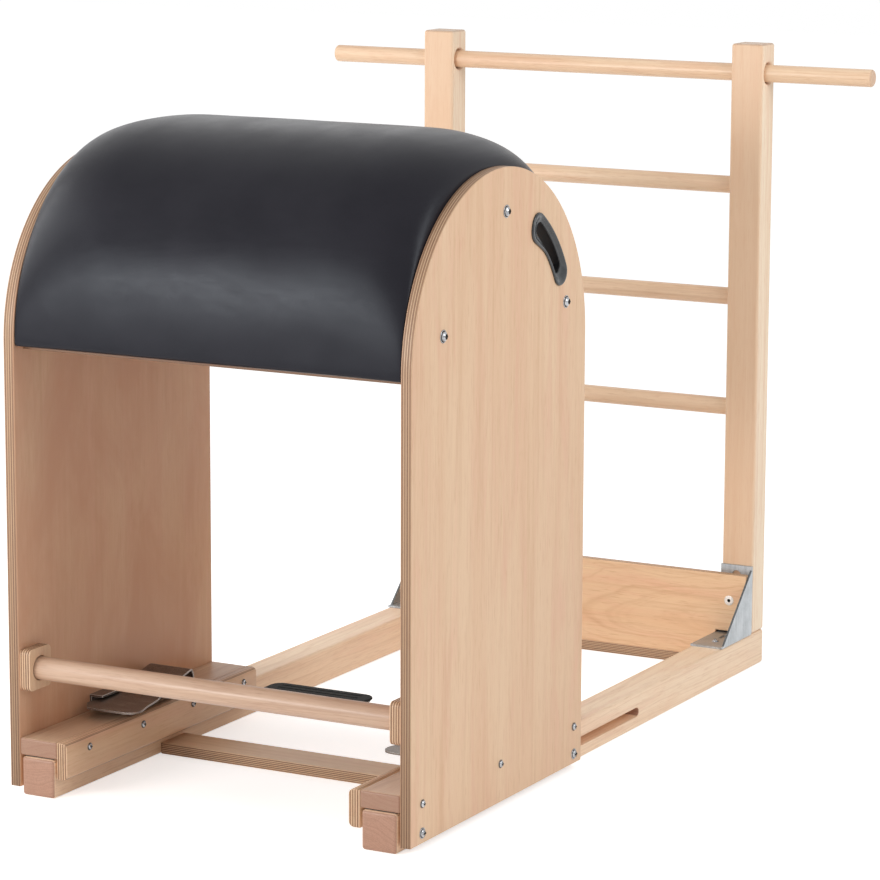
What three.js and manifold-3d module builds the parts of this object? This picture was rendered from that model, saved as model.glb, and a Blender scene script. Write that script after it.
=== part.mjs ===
// Pilates ladder barrel: a padded barrel that slides along a wooden ladder base.
// Millimetres. X runs across the machine, Y from the barrel to the ladder, Z up from the floor.

import * as THREE from 'three';
import { mergeVertices } from 'three/addons/utils/BufferGeometryUtils.js';
import Module from 'manifold-3d';

const wasm = await Module();
wasm.setup();

// Sizes shared by the whole machine
const overallWidth = 680;
const panelThickness = 18;
const plyEdge = 1.5;
const seatGap = 0.3;
const runningGap = 0.3;
const cutOverrun = 6;
const weldDistance = 0.001;

// Base rails
const railLength = 1290;
const railWidth = 57;
const railHeight = 58.5;
const railRound = 5;
const railEnd = 4;
const railSideClearance = 4;
const grooveHeight = 15;
const grooveDepth = 24;
const barrelTravel = 270;

// Boards that tie the rails together
const crossbarThickness = 18;
const crossbarDepth = 68;
const frontCrossbarSetback = 292;
const crossBoardTop = 162;
const crossBoardLift = 2.8;
const crossBoardThickness = 18;

// Ladder
const uprightDepth = 50;
const uprightCap = 49;
const barHeight = 1006;
const barLength = 1007;
const rungPitch = 188;
const rungCount = 3;
const dowelDiameter = 29;
const dowelEndRadius = 4;
const rungMortise = 26;
const barHoleChamfer = 4.5;

// Corner brackets between the rails and the uprights
const bracketThickness = 3.5;
const bracketReach = 124;
const bracketRise = 118;
const bracketBend = 5;
const bracketHole = 16;
const bracketHoleInset = 17;
const bracketScrewInset = 38;
const bracketSlotWidth = 9;
const bracketSlotLength = 26;
const bracketSlotInset = 72;
const gussetInset = 7;

// Side panels of the barrel
const barrelDepth = 540;
const barrelSetback = 2;
const panelFloorGap = 11;
const archHeight = 677;

// Runners that guide the barrel along the rails
const runnerHeight = 26;
const runnerRound = 3;
const runnerEnd = 2;
const glideThickness = 1.5;
const glideInset = 4;
const stripThickness = 18;
const stripHeight = 56;
const stripRadius = 8;

// Foot bar and its end blocks
const footBarDiameter = 35;
const footBarSetback = 30;
const footBarHeight = 188.5;
const footBlockDepth = 56;
const footBlockHeight = 63;
const footBlockThickness = 18;
const footBlockRadius = 8;

// Handholds: a slot that follows the arch, with a moulded liner
const handholdInset = 64.5;
const handholdRise = 24.2;
const handholdFlangeSpan = 105.2;
const handholdGripSpan = 82;
const handholdFlangeHalf = 20;
const handholdSwell = 6;
const handholdBodyHalf = 15.5;
const handholdGripHalf = 10.5;
const handholdFlangeRise = 3.5;
const handholdRimRise = 1.5;
const handholdInnerReach = 4;

// Barrel shell
const skinInset = 14;
const skinThickness = 8;
const battenSize = 45;
const battenEdge = 2;
const frontBattenInset = 90;
const rearBattenInset = 67;
const lowBattenRise = 51;
const topBattenOffset = 9;
const topBattenInset = 64;
const formerThickness = 18;
const formerSpacing = 230;
const sillThickness = 18;
const sillHeight = 45;
const sillDrop = 10;
const sillInset = 11;

// Barrel pad
const padTopRise = 47.8;
const padFrontRise = 1.5;
const padEndInset = 2;
const padFullnessShare = 2.55;
const padShoulder = 142;
const padEndGap = 0.6;
const padLowerDrop = 3;
const padLip = 9;
const padEndTuck = 0.4;

// Bolts
const boltDiameter = 8;
const boltHole = 9;
const boltHeadDiameter = 19;
const boltHeadHeight = 5.5;
const barrelBoltGrip = 40;
const boltSocketWidth = 6;
const boltSocketDepth = 3;
const guideHeadDiameter = 15;
const guideHeadHeight = 4.5;
const guideCollarDiameter = 14;
const guideCollarLength = 21;
const frontGuideInset = 33;
const rearGuideInset = 25.5;
const guideBoltHeight = 26.5;

// Release pedal: a shaft across the machine with a brake arm at each end
const pedalAxisSetback = 297;
const pedalAxisHeight = 103;
const shaftDiameter = 16;
const shaftEdge = 1;
const plateThickness = 3;
const armWidth = 99;
const armInset = 11;
const armRearTaper = 26;
const armCorner = 24;
const armClipWidth = 16;
const armClipLength = 24;
const armWaistTaper = 18;
const armWaistSetback = 68;
const armFrontReach = 159;
const armFlatLength = 90;
const armBend = 8;
const ridgeSetback = 48;
const ridgeRise = 24;
const ridgeLip = 16;
const legAngle = 15;
const tongueWidth = 30;
const shoeLength = 33;
const brakePadHeight = 10;
const brakePadInset = 2;
const lugThickness = 6;
const armLugRadius = 15;
const armLugInset = 46;

// Windows in the runners for the brake
const windowWidth = 40;
const windowFront = 26;
const windowLength = 46;
const windowRound = 4;

// Tread in the middle of the pedal
const treadWidth = 176;
const treadFront = 82;
const treadRear = 54;
const treadCorner = 18;
const treadThickness = 4;
const treadEdge = 1;
const treadRibs = 9;
const treadGrooveWidth = 4;
const treadGrooveDepth = 1.2;
const treadPlateInset = 3;
const treadPlateRise = 13;
const treadLugRadius = 13;
const treadLugSpacing = 110;

// Pivot brackets of the pedal, with a tab over each arm
const pivotThickness = 3.5;
const pivotRadius = 16;
const pivotBossRadius = 12;
const pivotBossLength = 6;
const pivotRearReach = 26;
const pivotFrontReach = 111;
const tabRise = 4.5;
const tabWidth = 23;
const tabLength = 52;

// Return springs round the pedal's shaft
const springWire = 2;
const springGap = 1;
const springRadius = 9.8;
const springTurns = 3;
const springLowerTilt = 12.4;
const springUpperTilt = 14;
const springLeg = 25;
const springInset = 30;

// Fineness of the round shapes
const cornerSteps = 2;
const bevelSteps = 1;
const barEndSteps = 2;
const archSteps = 20;
const dowelSteps = 20;
const boltSteps = 12;
const handholdCapSteps = 6;
const handholdSideSteps = 7;
const springStepsPerTurn = 10;
const springSides = 5;
const padRows = 26;
const padLipSteps = 3;
const padShoulderSteps = 6;

// Places worked out from the sizes above
const panelInnerX = overallWidth / 2 - panelThickness;
const railOuterX = panelInnerX - railSideClearance;
const railInnerX = railOuterX - railWidth;
const railCentreX = railOuterX - railWidth / 2;
const railRearY = railLength / 2;
const runnerInnerX = railInnerX - railSideClearance;
const runnerWidth = panelInnerX - runnerInnerX;
const runnerBottom = railHeight + runningGap + glideThickness;
const runnerTop = runnerBottom + runnerHeight;
const barrelCentreY = barrelSetback + (barrelDepth - railLength) / 2;
const archRadius = barrelDepth / 2;
const skinRadius = archRadius - skinInset;
const padTopRadius = archRadius + padTopRise;
const padFrontRadius = archRadius + padFrontRise;
const padEndRadius = archRadius - padEndInset;
const handholdRadius = archRadius - handholdInset;
const handholdFlangeAngle = handholdFlangeSpan / 2 / handholdRadius;
const handholdGripAngle = handholdGripSpan / 2 / handholdRadius;
const handholdLowest = lowBattenRise + battenSize / 2 + handholdRise;
const handholdMiddleAngle = Math.asin(handholdLowest / handholdRadius) + handholdFlangeAngle;
const uprightTop = barHeight + uprightCap;
const uprightFrontY = railRearY - uprightDepth;
const uprightCentreY = railRearY - uprightDepth / 2;
const crossBoardRearY = uprightFrontY - bracketThickness;
const crossBoardFrontY = crossBoardRearY - crossBoardThickness;
const dowelHole = dowelDiameter + 2 * seatGap;
const guideBoltFrontY = frontGuideInset - archRadius;
const guideBoltRearY = archRadius - rearGuideInset;
const barrelBoltPlaces = [
  ['front', frontBattenInset - archRadius, lowBattenRise],
  ['top', topBattenOffset, archRadius - topBattenInset],
  ['rear', archRadius - rearBattenInset, lowBattenRise],
];
const sillMiddleY = skinRadius - sillInset - sillThickness / 2;
const pedalAxisY = pedalAxisSetback - archRadius;

// Materials
const maple = () => new THREE.MeshStandardMaterial({ color: 0xe6c9a2, roughness: 0.5, metalness: 0 });
const birchPly = () => new THREE.MeshStandardMaterial({ color: 0xdfc097, roughness: 0.5, metalness: 0 });
const whitewood = () => new THREE.MeshStandardMaterial({ color: 0xd8bd92, roughness: 0.7, metalness: 0 });
const vinyl = () => new THREE.MeshStandardMaterial({ color: 0x303036, roughness: 0.4, metalness: 0 });
const zincSteel = () => new THREE.MeshStandardMaterial({ color: 0xa5acb0, roughness: 0.4, metalness: 0.9 });
const darkSteel = () => new THREE.MeshStandardMaterial({ color: 0x6c6660, roughness: 0.45, metalness: 0.9 });
const chrome = () => new THREE.MeshStandardMaterial({ color: 0xc8ccd0, roughness: 0.15, metalness: 1 });
const plastic = () => new THREE.MeshStandardMaterial({ color: 0x6d7375, roughness: 0.35, metalness: 0 });
const nylon = () => new THREE.MeshStandardMaterial({ color: 0x242426, roughness: 0.5, metalness: 0 });
const rubber = () => new THREE.MeshStandardMaterial({ color: 0x191b1d, roughness: 0.75, metalness: 0 });

// Turns a geometry with its shared corners merged into a solid that can be cut
function solidOf(geometry) {
  const bare = geometry.clone();
  bare.deleteAttribute('normal');
  bare.deleteAttribute('uv');
  const welded = mergeVertices(bare, weldDistance);
  const corners = welded.index.array;
  const kept = [];
  for (let i = 0; i < corners.length; i += 3) {
    const [a, b, c] = [corners[i], corners[i + 1], corners[i + 2]];
    if (a !== b && b !== c && c !== a) kept.push(a, b, c);
  }
  return new wasm.Manifold(new wasm.Mesh({
    numProp: 3,
    vertProperties: new Float32Array(welded.attributes.position.array),
    triVerts: new Uint32Array(kept),
  }));
}

function geometryOf(solid) {
  const mesh = solid.getMesh();
  const geometry = new THREE.BufferGeometry();
  geometry.setAttribute('position', new THREE.BufferAttribute(mesh.vertProperties, 3));
  geometry.setIndex(new THREE.BufferAttribute(mesh.triVerts, 1));
  geometry.computeVertexNormals();
  return geometry;
}

function cut(geometry, tools) {
  let solid = solidOf(geometry);
  for (const tool of tools) solid = solid.subtract(solidOf(tool));
  return geometryOf(solid);
}

function join(geometries) {
  let solid = solidOf(geometries[0]);
  for (const geometry of geometries.slice(1)) solid = solid.add(solidOf(geometry));
  return geometryOf(solid);
}

// Turns a shape drawn in its own plane so that it is swept along X, with its width along Y
function alongX(geometry) {
  const turn = new THREE.Matrix4().makeBasis(
    new THREE.Vector3(0, 1, 0), new THREE.Vector3(0, 0, 1), new THREE.Vector3(1, 0, 0));
  return geometry.applyMatrix4(turn);
}

// Turns a shape drawn in its own plane so that it is swept along Y, with its width along X
function alongY(geometry) {
  return geometry.rotateX(Math.PI / 2);
}

function roundedRectangle(width, height, radius) {
  const [x, y] = [width / 2, height / 2];
  const quarter = Math.PI / 2;
  const shape = new THREE.Shape();
  shape.absarc(x - radius, y - radius, radius, 0, quarter);
  shape.absarc(radius - x, y - radius, radius, quarter, 2 * quarter);
  shape.absarc(radius - x, radius - y, radius, 2 * quarter, 3 * quarter);
  shape.absarc(x - radius, radius - y, radius, 3 * quarter, 4 * quarter);
  shape.closePath();
  return shape;
}

// Sweeps a shape by a length, centred on its plane, with both ends eased by an edge radius
function sweep(shape, length, edge = 0, steps = cornerSteps) {
  const geometry = new THREE.ExtrudeGeometry(shape, {
    depth: length - 2 * edge,
    curveSegments: steps,
    bevelEnabled: edge > 0,
    bevelThickness: edge,
    bevelSize: edge,
    bevelOffset: -edge,
    bevelSegments: bevelSteps,
  });
  return geometry.translate(0, 0, edge - length / 2);
}

function box(x, y, z) {
  return new THREE.BoxGeometry(x, y, z);
}

// A round bar along X with eased ends
function roundBar(diameter, length, edge, steps = dowelSteps) {
  const radius = diameter / 2;
  const half = length / 2;
  const profile = [new THREE.Vector2(0, -half)];
  for (let i = 0; i <= barEndSteps; i++) {
    const turn = (i / barEndSteps) * Math.PI / 2;
    const [out, along] = [edge * Math.sin(turn), edge * Math.cos(turn)];
    profile.push(new THREE.Vector2(radius - edge + out, edge - half - along));
  }
  const upper = profile.map((point) => new THREE.Vector2(point.x, -point.y)).reverse();
  return new THREE.LatheGeometry([...profile, ...upper], steps).rotateZ(-Math.PI / 2);
}

// A round hole cutter along X
function borer(diameter, length, steps = dowelSteps) {
  return new THREE.CylinderGeometry(diameter / 2, diameter / 2, length, steps).rotateZ(Math.PI / 2);
}

// A solid between two grids of points with equal rows and columns
function solidBetween(outer, inner) {
  const rows = outer.length;
  const columns = outer[0].length;
  const points = [...outer.flat(), ...inner.flat()];
  const corner = (side, row, column) => side * rows * columns + row * columns + column;
  const faces = [];
  const quad = (a, b, c, d) => faces.push(a, b, c, a, c, d);
  for (let i = 0; i < rows - 1; i++) {
    for (let j = 0; j < columns - 1; j++) {
      quad(corner(0, i, j), corner(0, i + 1, j), corner(0, i + 1, j + 1), corner(0, i, j + 1));
      quad(corner(1, i, j), corner(1, i, j + 1), corner(1, i + 1, j + 1), corner(1, i + 1, j));
    }
    const last = columns - 1;
    quad(corner(0, i, 0), corner(1, i, 0), corner(1, i + 1, 0), corner(0, i + 1, 0));
    quad(corner(0, i, last), corner(0, i + 1, last), corner(1, i + 1, last), corner(1, i, last));
  }
  for (let j = 0; j < columns - 1; j++) {
    const last = rows - 1;
    quad(corner(0, 0, j), corner(0, 0, j + 1), corner(1, 0, j + 1), corner(1, 0, j));
    quad(corner(0, last, j), corner(1, last, j), corner(1, last, j + 1), corner(0, last, j + 1));
  }
  return meshOf(points, faces);
}

function meshOf(points, faces) {
  const geometry = new THREE.BufferGeometry().setFromPoints(points);
  geometry.setIndex(faces);
  geometry.computeVertexNormals();
  return geometry;
}

// A solid made of closed loops: a tube with two flat ends, or a ring when it closes on itself
function solidOfLoops(loops, closed) {
  const sides = loops[0].length;
  const faces = [];
  const count = closed ? loops.length : loops.length - 1;
  for (let i = 0; i < count; i++) {
    const next = (i + 1) % loops.length;
    for (let j = 0; j < sides; j++) {
      const beside = (j + 1) % sides;
      const [a, b] = [i * sides + j, i * sides + beside];
      const [c, d] = [next * sides + beside, next * sides + j];
      faces.push(a, b, c, a, c, d);
    }
  }
  if (!closed) {
    const last = (loops.length - 1) * sides;
    for (let j = 1; j < sides - 1; j++) faces.push(0, j + 1, j, last, last + j, last + j + 1);
  }
  return meshOf(loops.flat(), faces);
}

function piece(name, geometry, material, x = 0, y = 0, z = 0) {
  const mesh = new THREE.Mesh(geometry, material);
  mesh.name = name;
  mesh.position.set(x, y, z);
  return mesh;
}

const sides = [['left', -1], ['right', 1]];

// Rails with the two grooves that the guide bolts run in
function railGeometry(side) {
  const section = roundedRectangle(railWidth, railHeight, railRound);
  const rail = alongY(sweep(section, railLength, railEnd));
  const grooveLength = barrelTravel + grooveHeight;
  const grooves = [guideBoltFrontY, guideBoltRearY].map((boltY) => {
    const shape = roundedRectangle(grooveLength, grooveHeight, grooveHeight / 2);
    const groove = alongX(sweep(shape, 2 * grooveDepth, 0, 2 * cornerSteps));
    const middleY = barrelCentreY + boltY + barrelTravel / 2;
    return groove.translate(side * railWidth / 2, middleY, guideBoltHeight - railHeight / 2);
  });
  return cut(rail, grooves);
}

function crossbarGeometry() {
  const section = roundedRectangle(crossbarDepth, crossbarThickness, plyEdge);
  return alongX(sweep(section, 2 * railInnerX));
}

// The board on edge, let down between the rails and carried over them to the uprights
function crossBoardGeometry() {
  const shoulder = railHeight + bracketThickness + crossBoardLift;
  const reach = railOuterX - bracketThickness - seatGap;
  const neck = railInnerX - seatGap;
  const shape = new THREE.Shape();
  shape.moveTo(-neck, crossbarThickness);
  shape.lineTo(neck, crossbarThickness);
  shape.lineTo(neck, shoulder);
  shape.lineTo(reach, shoulder);
  shape.lineTo(reach, crossBoardTop);
  shape.lineTo(-reach, crossBoardTop);
  shape.lineTo(-reach, shoulder);
  shape.lineTo(-neck, shoulder);
  shape.closePath();
  return alongY(sweep(shape, crossBoardThickness, plyEdge));
}

// Uprights with a through hole for the top bar and blind holes for the rungs
function uprightGeometry(side) {
  const height = uprightTop - railHeight;
  const section = roundedRectangle(railWidth, uprightDepth, railRound);
  const post = sweep(section, height, railEnd);
  const middle = railHeight + height / 2;
  const tools = [borer(dowelHole, railWidth + cutOverrun).translate(0, 0, barHeight - middle)];
  for (const face of [-1, 1]) {
    const wide = dowelHole / 2 + barHoleChamfer;
    const cone = new THREE.CylinderGeometry(wide, dowelHole / 2, barHoleChamfer, dowelSteps);
    cone.rotateZ(-face * Math.PI / 2);
    tools.push(cone.translate(face * (railWidth - barHoleChamfer) / 2, 0, barHeight - middle));
  }
  for (let i = 1; i <= rungCount; i++) {
    const hole = borer(dowelHole, 2 * (rungMortise + seatGap));
    tools.push(hole.translate(-side * railWidth / 2, 0, barHeight - i * rungPitch - middle));
  }
  return cut(post, tools);
}

// Corner bracket bent from one plate, with a gusset along its outer edge
function bracketGeometry(side) {
  const thick = bracketThickness;
  const shape = new THREE.Shape();
  shape.moveTo(-bracketReach, 0);
  shape.lineTo(-bracketBend, 0);
  shape.absarc(-bracketBend, bracketBend, bracketBend, -Math.PI / 2, 0);
  shape.lineTo(0, bracketRise);
  shape.lineTo(-thick, bracketRise);
  shape.lineTo(-thick, bracketBend);
  shape.absarc(-bracketBend, bracketBend, bracketBend - thick, 0, -Math.PI / 2, true);
  shape.lineTo(-bracketReach, thick);
  shape.closePath();
  const angle = alongX(sweep(shape, railWidth));
  const web = new THREE.Shape();
  web.moveTo(gussetInset - bracketReach, thick / 2);
  web.lineTo(-thick, thick / 2);
  web.lineTo(-thick / 2, thick);
  web.lineTo(-thick / 2, bracketRise - gussetInset);
  web.lineTo(-thick, bracketRise - gussetInset);
  web.closePath();
  const gusset = alongX(sweep(web, thick)).translate(side * (railWidth - thick) / 2, 0, 0);
  return cut(join([angle, gusset]), bracketHoles(thick));
}

function bracketHoles(thick) {
  const depth = thick + cutOverrun;
  const radius = bracketHole / 2;
  const backHole = new THREE.CylinderGeometry(radius, radius, depth, boltSteps);
  backHole.translate(0, 0, bracketRise - bracketHoleInset);
  const slot = sweep(roundedRectangle(bracketSlotWidth, bracketSlotLength, bracketSlotWidth / 2), depth);
  const holeRadius = bracketSlotWidth / 2;
  const baseHole = new THREE.CylinderGeometry(holeRadius, holeRadius, depth, boltSteps);
  baseHole.rotateX(Math.PI / 2).translate(0, bracketScrewInset - bracketReach, 0);
  return [backHole, slot.translate(0, bracketSlotInset - bracketReach, 0), baseHole];
}

function ladderBase() {
  const base = new THREE.Group();
  for (const [word, side] of sides) {
    const x = side * railCentreX;
    const postZ = (railHeight + uprightTop) / 2;
    base.add(piece(`${word}_base_rail`, railGeometry(side), maple(), x, 0, railHeight / 2));
    base.add(piece(`${word}_upright`, uprightGeometry(side), maple(), x, uprightCentreY, postZ));
    const bracket = bracketGeometry(side);
    base.add(piece(`${word}_corner_bracket`, bracket, zincSteel(), x, uprightFrontY, railHeight));
  }
  const frontY = frontCrossbarSetback - railRearY + crossbarDepth / 2;
  const rearY = crossBoardFrontY + crossbarDepth / 2;
  const barZ = crossbarThickness / 2;
  const boardY = crossBoardFrontY + crossBoardThickness / 2;
  base.add(piece('front_crossbar', crossbarGeometry(), birchPly(), 0, frontY, barZ));
  base.add(piece('rear_crossbar', crossbarGeometry(), birchPly(), 0, rearY, barZ));
  base.add(piece('rear_cross_board', crossBoardGeometry(), birchPly(), 0, boardY, 0));
  const bar = roundBar(dowelDiameter, barLength, dowelEndRadius);
  base.add(piece('top_bar', bar, maple(), 0, uprightCentreY, barHeight));
  for (let i = 1; i <= rungCount; i++) {
    const rung = roundBar(dowelDiameter, 2 * (railInnerX + rungMortise), plyEdge);
    base.add(piece(`rung_${i}`, rung, maple(), 0, uprightCentreY, barHeight - i * rungPitch));
  }
  return base;
}

// Outline of a slot that follows the arch: a loop of points at one half width
function handholdOutline(halfWidth, halfAngle, x, side, swell = 0) {
  const loop = [];
  const inward = (along) => halfWidth + swell * THREE.MathUtils.smoothstep(along, 0, halfAngle);
  const add = (along, radial, across) => {
    const angle = handholdMiddleAngle + along;
    const radius = handholdRadius + radial;
    const y = radius * Math.cos(angle) - across * Math.sin(angle);
    const z = radius * Math.sin(angle) + across * Math.cos(angle);
    loop.push(new THREE.Vector3(side * x, y, z));
  };
  for (const end of [1, -1]) {
    for (let i = 0; i <= handholdCapSteps; i++) {
      const turn = (i / handholdCapSteps) * Math.PI + (end > 0 ? 0 : Math.PI);
      const half = Math.cos(turn) < 0 ? inward(end * halfAngle) : halfWidth;
      add(end * halfAngle, half * Math.cos(turn), halfWidth * Math.sin(turn));
    }
    for (let i = 1; i < handholdSideSteps; i++) {
      const along = end * halfAngle * (1 - (2 * i) / handholdSideSteps);
      add(along, end > 0 ? -inward(along) : halfWidth, 0);
    }
  }
  return loop;
}

// Cutter for the hole that the liner's body sits in
function handholdCutter(side) {
  const half = handholdBodyHalf + seatGap;
  const angle = (handholdFlangeAngle + handholdGripAngle) / 2;
  const near = panelInnerX - cutOverrun;
  const far = overallWidth / 2 + cutOverrun;
  const loops = [near, far].map((x) => handholdOutline(half, angle, x, side));
  const shape = new THREE.Shape(loops[0].map((point) => new THREE.Vector2(point.y, point.z)));
  return alongX(sweep(shape, far - near)).translate(side * (near + far) / 2, 0, 0);
}

// Moulded liner: a dished flange outside the panel, wider at its upper end, and a sleeve through it
function linerGeometry(side) {
  const outside = overallWidth / 2;
  const inside = panelInnerX - handholdInnerReach;
  const bodyAngle = (handholdFlangeAngle + handholdGripAngle) / 2;
  const rimHalf = handholdFlangeHalf - handholdRimRise;
  const lipHalf = handholdGripHalf + handholdRimRise;
  const section = [
    [handholdFlangeHalf, handholdFlangeAngle, outside + seatGap, handholdSwell],
    [handholdFlangeHalf, handholdFlangeAngle, outside + handholdRimRise, handholdSwell],
    [rimHalf, handholdFlangeAngle, outside + handholdFlangeRise, handholdSwell],
    [handholdBodyHalf, bodyAngle, outside + handholdRimRise],
    [lipHalf, handholdGripAngle, outside],
    [handholdGripHalf, handholdGripAngle, outside - handholdRimRise],
    [handholdGripHalf, handholdGripAngle, inside],
    [handholdBodyHalf, bodyAngle, inside],
    [handholdBodyHalf, bodyAngle, outside + seatGap],
  ];
  const loops = section.map(([half, angle, x, swell]) => handholdOutline(half, angle, x, side, swell));
  const ordered = side > 0 ? loops : [...loops].reverse();
  return solidOfLoops(ordered, true);
}

// Side panel with straight sides and a half round top
function panelShape() {
  const shape = new THREE.Shape();
  shape.moveTo(-archRadius, panelFloorGap - archHeight);
  shape.lineTo(archRadius, panelFloorGap - archHeight);
  shape.absarc(0, 0, archRadius, 0, Math.PI);
  shape.closePath();
  return shape;
}

function panelGeometry(side) {
  const panel = alongX(sweep(panelShape(), panelThickness, plyEdge, archSteps));
  const middleX = side * (overallWidth - panelThickness) / 2;
  panel.translate(middleX, 0, 0);
  const drill = () => borer(boltHole, panelThickness + cutOverrun, boltSteps);
  const tools = barrelBoltPlaces.map(([, y, z]) => drill().translate(middleX, y, z));
  for (const y of [guideBoltFrontY, guideBoltRearY]) {
    tools.push(drill().translate(middleX, y, guideBoltHeight - archHeight));
  }
  tools.push(handholdCutter(side));
  return cut(panel, tools);
}

// Runner over the rail, with a window for the brake
function runnerGeometry() {
  const section = roundedRectangle(runnerWidth, runnerHeight, runnerRound);
  const runner = alongY(sweep(section, barrelDepth, runnerEnd));
  return cut(runner, [brakeWindow()]);
}

function glideGeometry() {
  const glide = box(railWidth - 2 * glideInset, barrelDepth - 2 * glideInset, glideThickness);
  return cut(glide, [brakeWindow()]);
}

function brakeWindow() {
  const middle = pedalAxisY + windowFront + windowLength / 2;
  const window = roundedRectangle(windowWidth, windowLength, windowRound);
  return sweep(window, runnerHeight + cutOverrun).translate(0, middle, 0);
}

// Ply strip that hangs inside the rail, rounded on its open side
function stripGeometry(side) {
  const [x, z] = [stripThickness / 2, stripHeight / 2];
  const quarter = Math.PI / 2;
  const shape = new THREE.Shape();
  shape.moveTo(x, -z);
  shape.lineTo(x, z);
  shape.absarc(stripRadius - x, z - stripRadius, stripRadius, quarter, 2 * quarter);
  shape.absarc(stripRadius - x, stripRadius - z, stripRadius, 2 * quarter, 3 * quarter);
  shape.closePath();
  const strip = alongY(sweep(shape, barrelDepth, plyEdge));
  return side > 0 ? strip : strip.rotateZ(Math.PI);
}

function footBlockGeometry() {
  const shape = roundedRectangle(footBlockDepth, footBlockHeight, footBlockRadius);
  const block = alongX(sweep(shape, footBlockThickness, plyEdge));
  return cut(block, [borer(footBarDiameter + 2 * seatGap, footBlockThickness + cutOverrun)]);
}

// Half round former that the battens pass through
function formerGeometry() {
  const radius = skinRadius - skinThickness - seatGap;
  const shape = new THREE.Shape();
  shape.absarc(0, 0, radius, 0, Math.PI);
  shape.closePath();
  const former = alongX(sweep(shape, formerThickness, 0, archSteps / 2));
  const through = formerThickness + cutOverrun;
  const slot = battenSize + 2 * seatGap;
  const tools = barrelBoltPlaces.map(([, y, z]) => box(through, slot, slot).translate(0, y, z));
  for (const end of [-1, 1]) tools.push(sillNotch(through, end));
  return cut(former, tools);
}

// Room for a sill board, open towards the skin and the floor
function sillNotch(through, end) {
  const innerY = sillMiddleY - sillThickness / 2 - seatGap;
  const width = skinRadius - innerY;
  const top = sillHeight - sillDrop + seatGap;
  const notch = box(through, width, top + cutOverrun);
  return notch.translate(0, end * (innerY + width / 2), (top - cutOverrun) / 2);
}

// Board along the lower edge of the shell
function sillGeometry() {
  const shape = roundedRectangle(sillThickness, sillHeight, plyEdge);
  return alongX(sweep(shape, 2 * (panelInnerX - seatGap)));
}

// Square batten across the barrel, drilled at both ends for the bolts
function battenGeometry() {
  const length = 2 * (panelInnerX - seatGap);
  const section = roundedRectangle(battenSize, battenSize, battenEdge);
  const depth = barrelBoltGrip - panelThickness + seatGap;
  const holes = [-1, 1].map((end) => borer(boltHole, 2 * depth, boltSteps).translate(end * length / 2, 0, 0));
  return cut(alongX(sweep(section, length)), holes);
}

// Bent ply skin round the formers
function skinGeometry() {
  const shape = new THREE.Shape();
  shape.absarc(0, 0, skinRadius, 0, Math.PI);
  shape.absarc(0, 0, skinRadius - skinThickness, Math.PI, 0, true);
  shape.closePath();
  return alongX(sweep(shape, 2 * (panelInnerX - seatGap), 0, archSteps / 2));
}

// Crowned pad, rolled down to the panels at both ends and tucked in at its lower edges
function padGeometry() {
  const stations = padStations();
  const innerRadius = (skinRadius + seatGap) / Math.cos(Math.PI / (2 * padRows));
  const outer = [];
  const inner = [];
  for (const [turn, tuck] of padTurns()) {
    const [c, s] = [Math.cos(turn), Math.sin(turn)];
    const full = padReach(c, s);
    const ring = (x, reach) => new THREE.Vector3(x, reach * c, reach * s);
    outer.push(stations.map(([x, crown]) => {
      const reach = padEndRadius + (full - padEndRadius) * crown;
      return ring(x, reach - tuck * Math.max(crown, padEndTuck));
    }));
    inner.push(stations.map(([x]) => ring(x, innerRadius)));
  }
  return solidBetween(outer, inner);
}

// How far the pad's middle stands from the arch's centre: a full curve, squarer than an ellipse
function padReach(c, s) {
  const front = Math.abs(c / padFrontRadius) ** padFullnessShare;
  const top = Math.abs(s / padTopRadius) ** padFullnessShare;
  return (front + top) ** (-1 / padFullnessShare);
}

// Places across the pad, each with the share of the full crown that the pad has there
function padStations() {
  const end = panelInnerX - padEndGap;
  const half = [];
  for (let i = 0; i <= padShoulderSteps; i++) {
    const turn = (i / padShoulderSteps) * Math.PI / 2;
    half.push([end - padShoulder * (1 - Math.cos(turn)), Math.sin(turn)]);
  }
  const left = half.map(([x, crown]) => [-x, crown]);
  return [...left, [0, 1], ...half.reverse()];
}

// Turns round the pad from its rear edge to its front edge, each with how far it is tucked in
function padTurns() {
  const low = padLowerDrop / padFrontRadius;
  const lip = padLip / padFrontRadius;
  const turns = [];
  for (let i = 0; i < padLipSteps; i++) {
    const turn = (i / padLipSteps) * Math.PI / 2;
    turns.push([lip * (1 - Math.cos(turn)) - low, padLip * (1 - Math.sin(turn))]);
  }
  const far = turns.map(([turn, tuck]) => [Math.PI - turn, tuck]).reverse();
  for (let i = 0; i <= padRows; i++) {
    turns.push([lip - low + (i / padRows) * (Math.PI + 2 * (low - lip)), 0]);
  }
  return [...turns, ...far];
}

// Bolt along X with a domed head, its hex socket and, on a guide bolt, a collar on its shank
function boltGeometry(side, head, grip, collar) {
  const shank = boltDiameter / 2;
  const profile = [new THREE.Vector2(0, -grip - collar.length)];
  if (collar.length > 0) {
    profile.push(new THREE.Vector2(collar.radius, -grip - collar.length));
    profile.push(new THREE.Vector2(collar.radius, -grip));
    profile.push(new THREE.Vector2(shank, -grip));
  } else {
    profile.push(new THREE.Vector2(shank, -grip));
  }
  profile.push(new THREE.Vector2(shank, 0));
  for (let i = 0; i <= cornerSteps + 1; i++) {
    const turn = (i / (cornerSteps + 1)) * Math.PI / 2;
    const radius = i > cornerSteps ? 0 : head.radius * Math.cos(turn);
    profile.push(new THREE.Vector2(radius, head.height * Math.sin(turn)));
  }
  const bolt = new THREE.LatheGeometry(profile, boltSteps);
  const flats = 6;
  const across = boltSocketWidth / 2;
  const socket = new THREE.CylinderGeometry(across, across, 2 * boltSocketDepth, flats);
  socket.translate(0, head.height, 0);
  return cut(bolt, [socket]).rotateZ(-side * Math.PI / 2);
}

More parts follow.
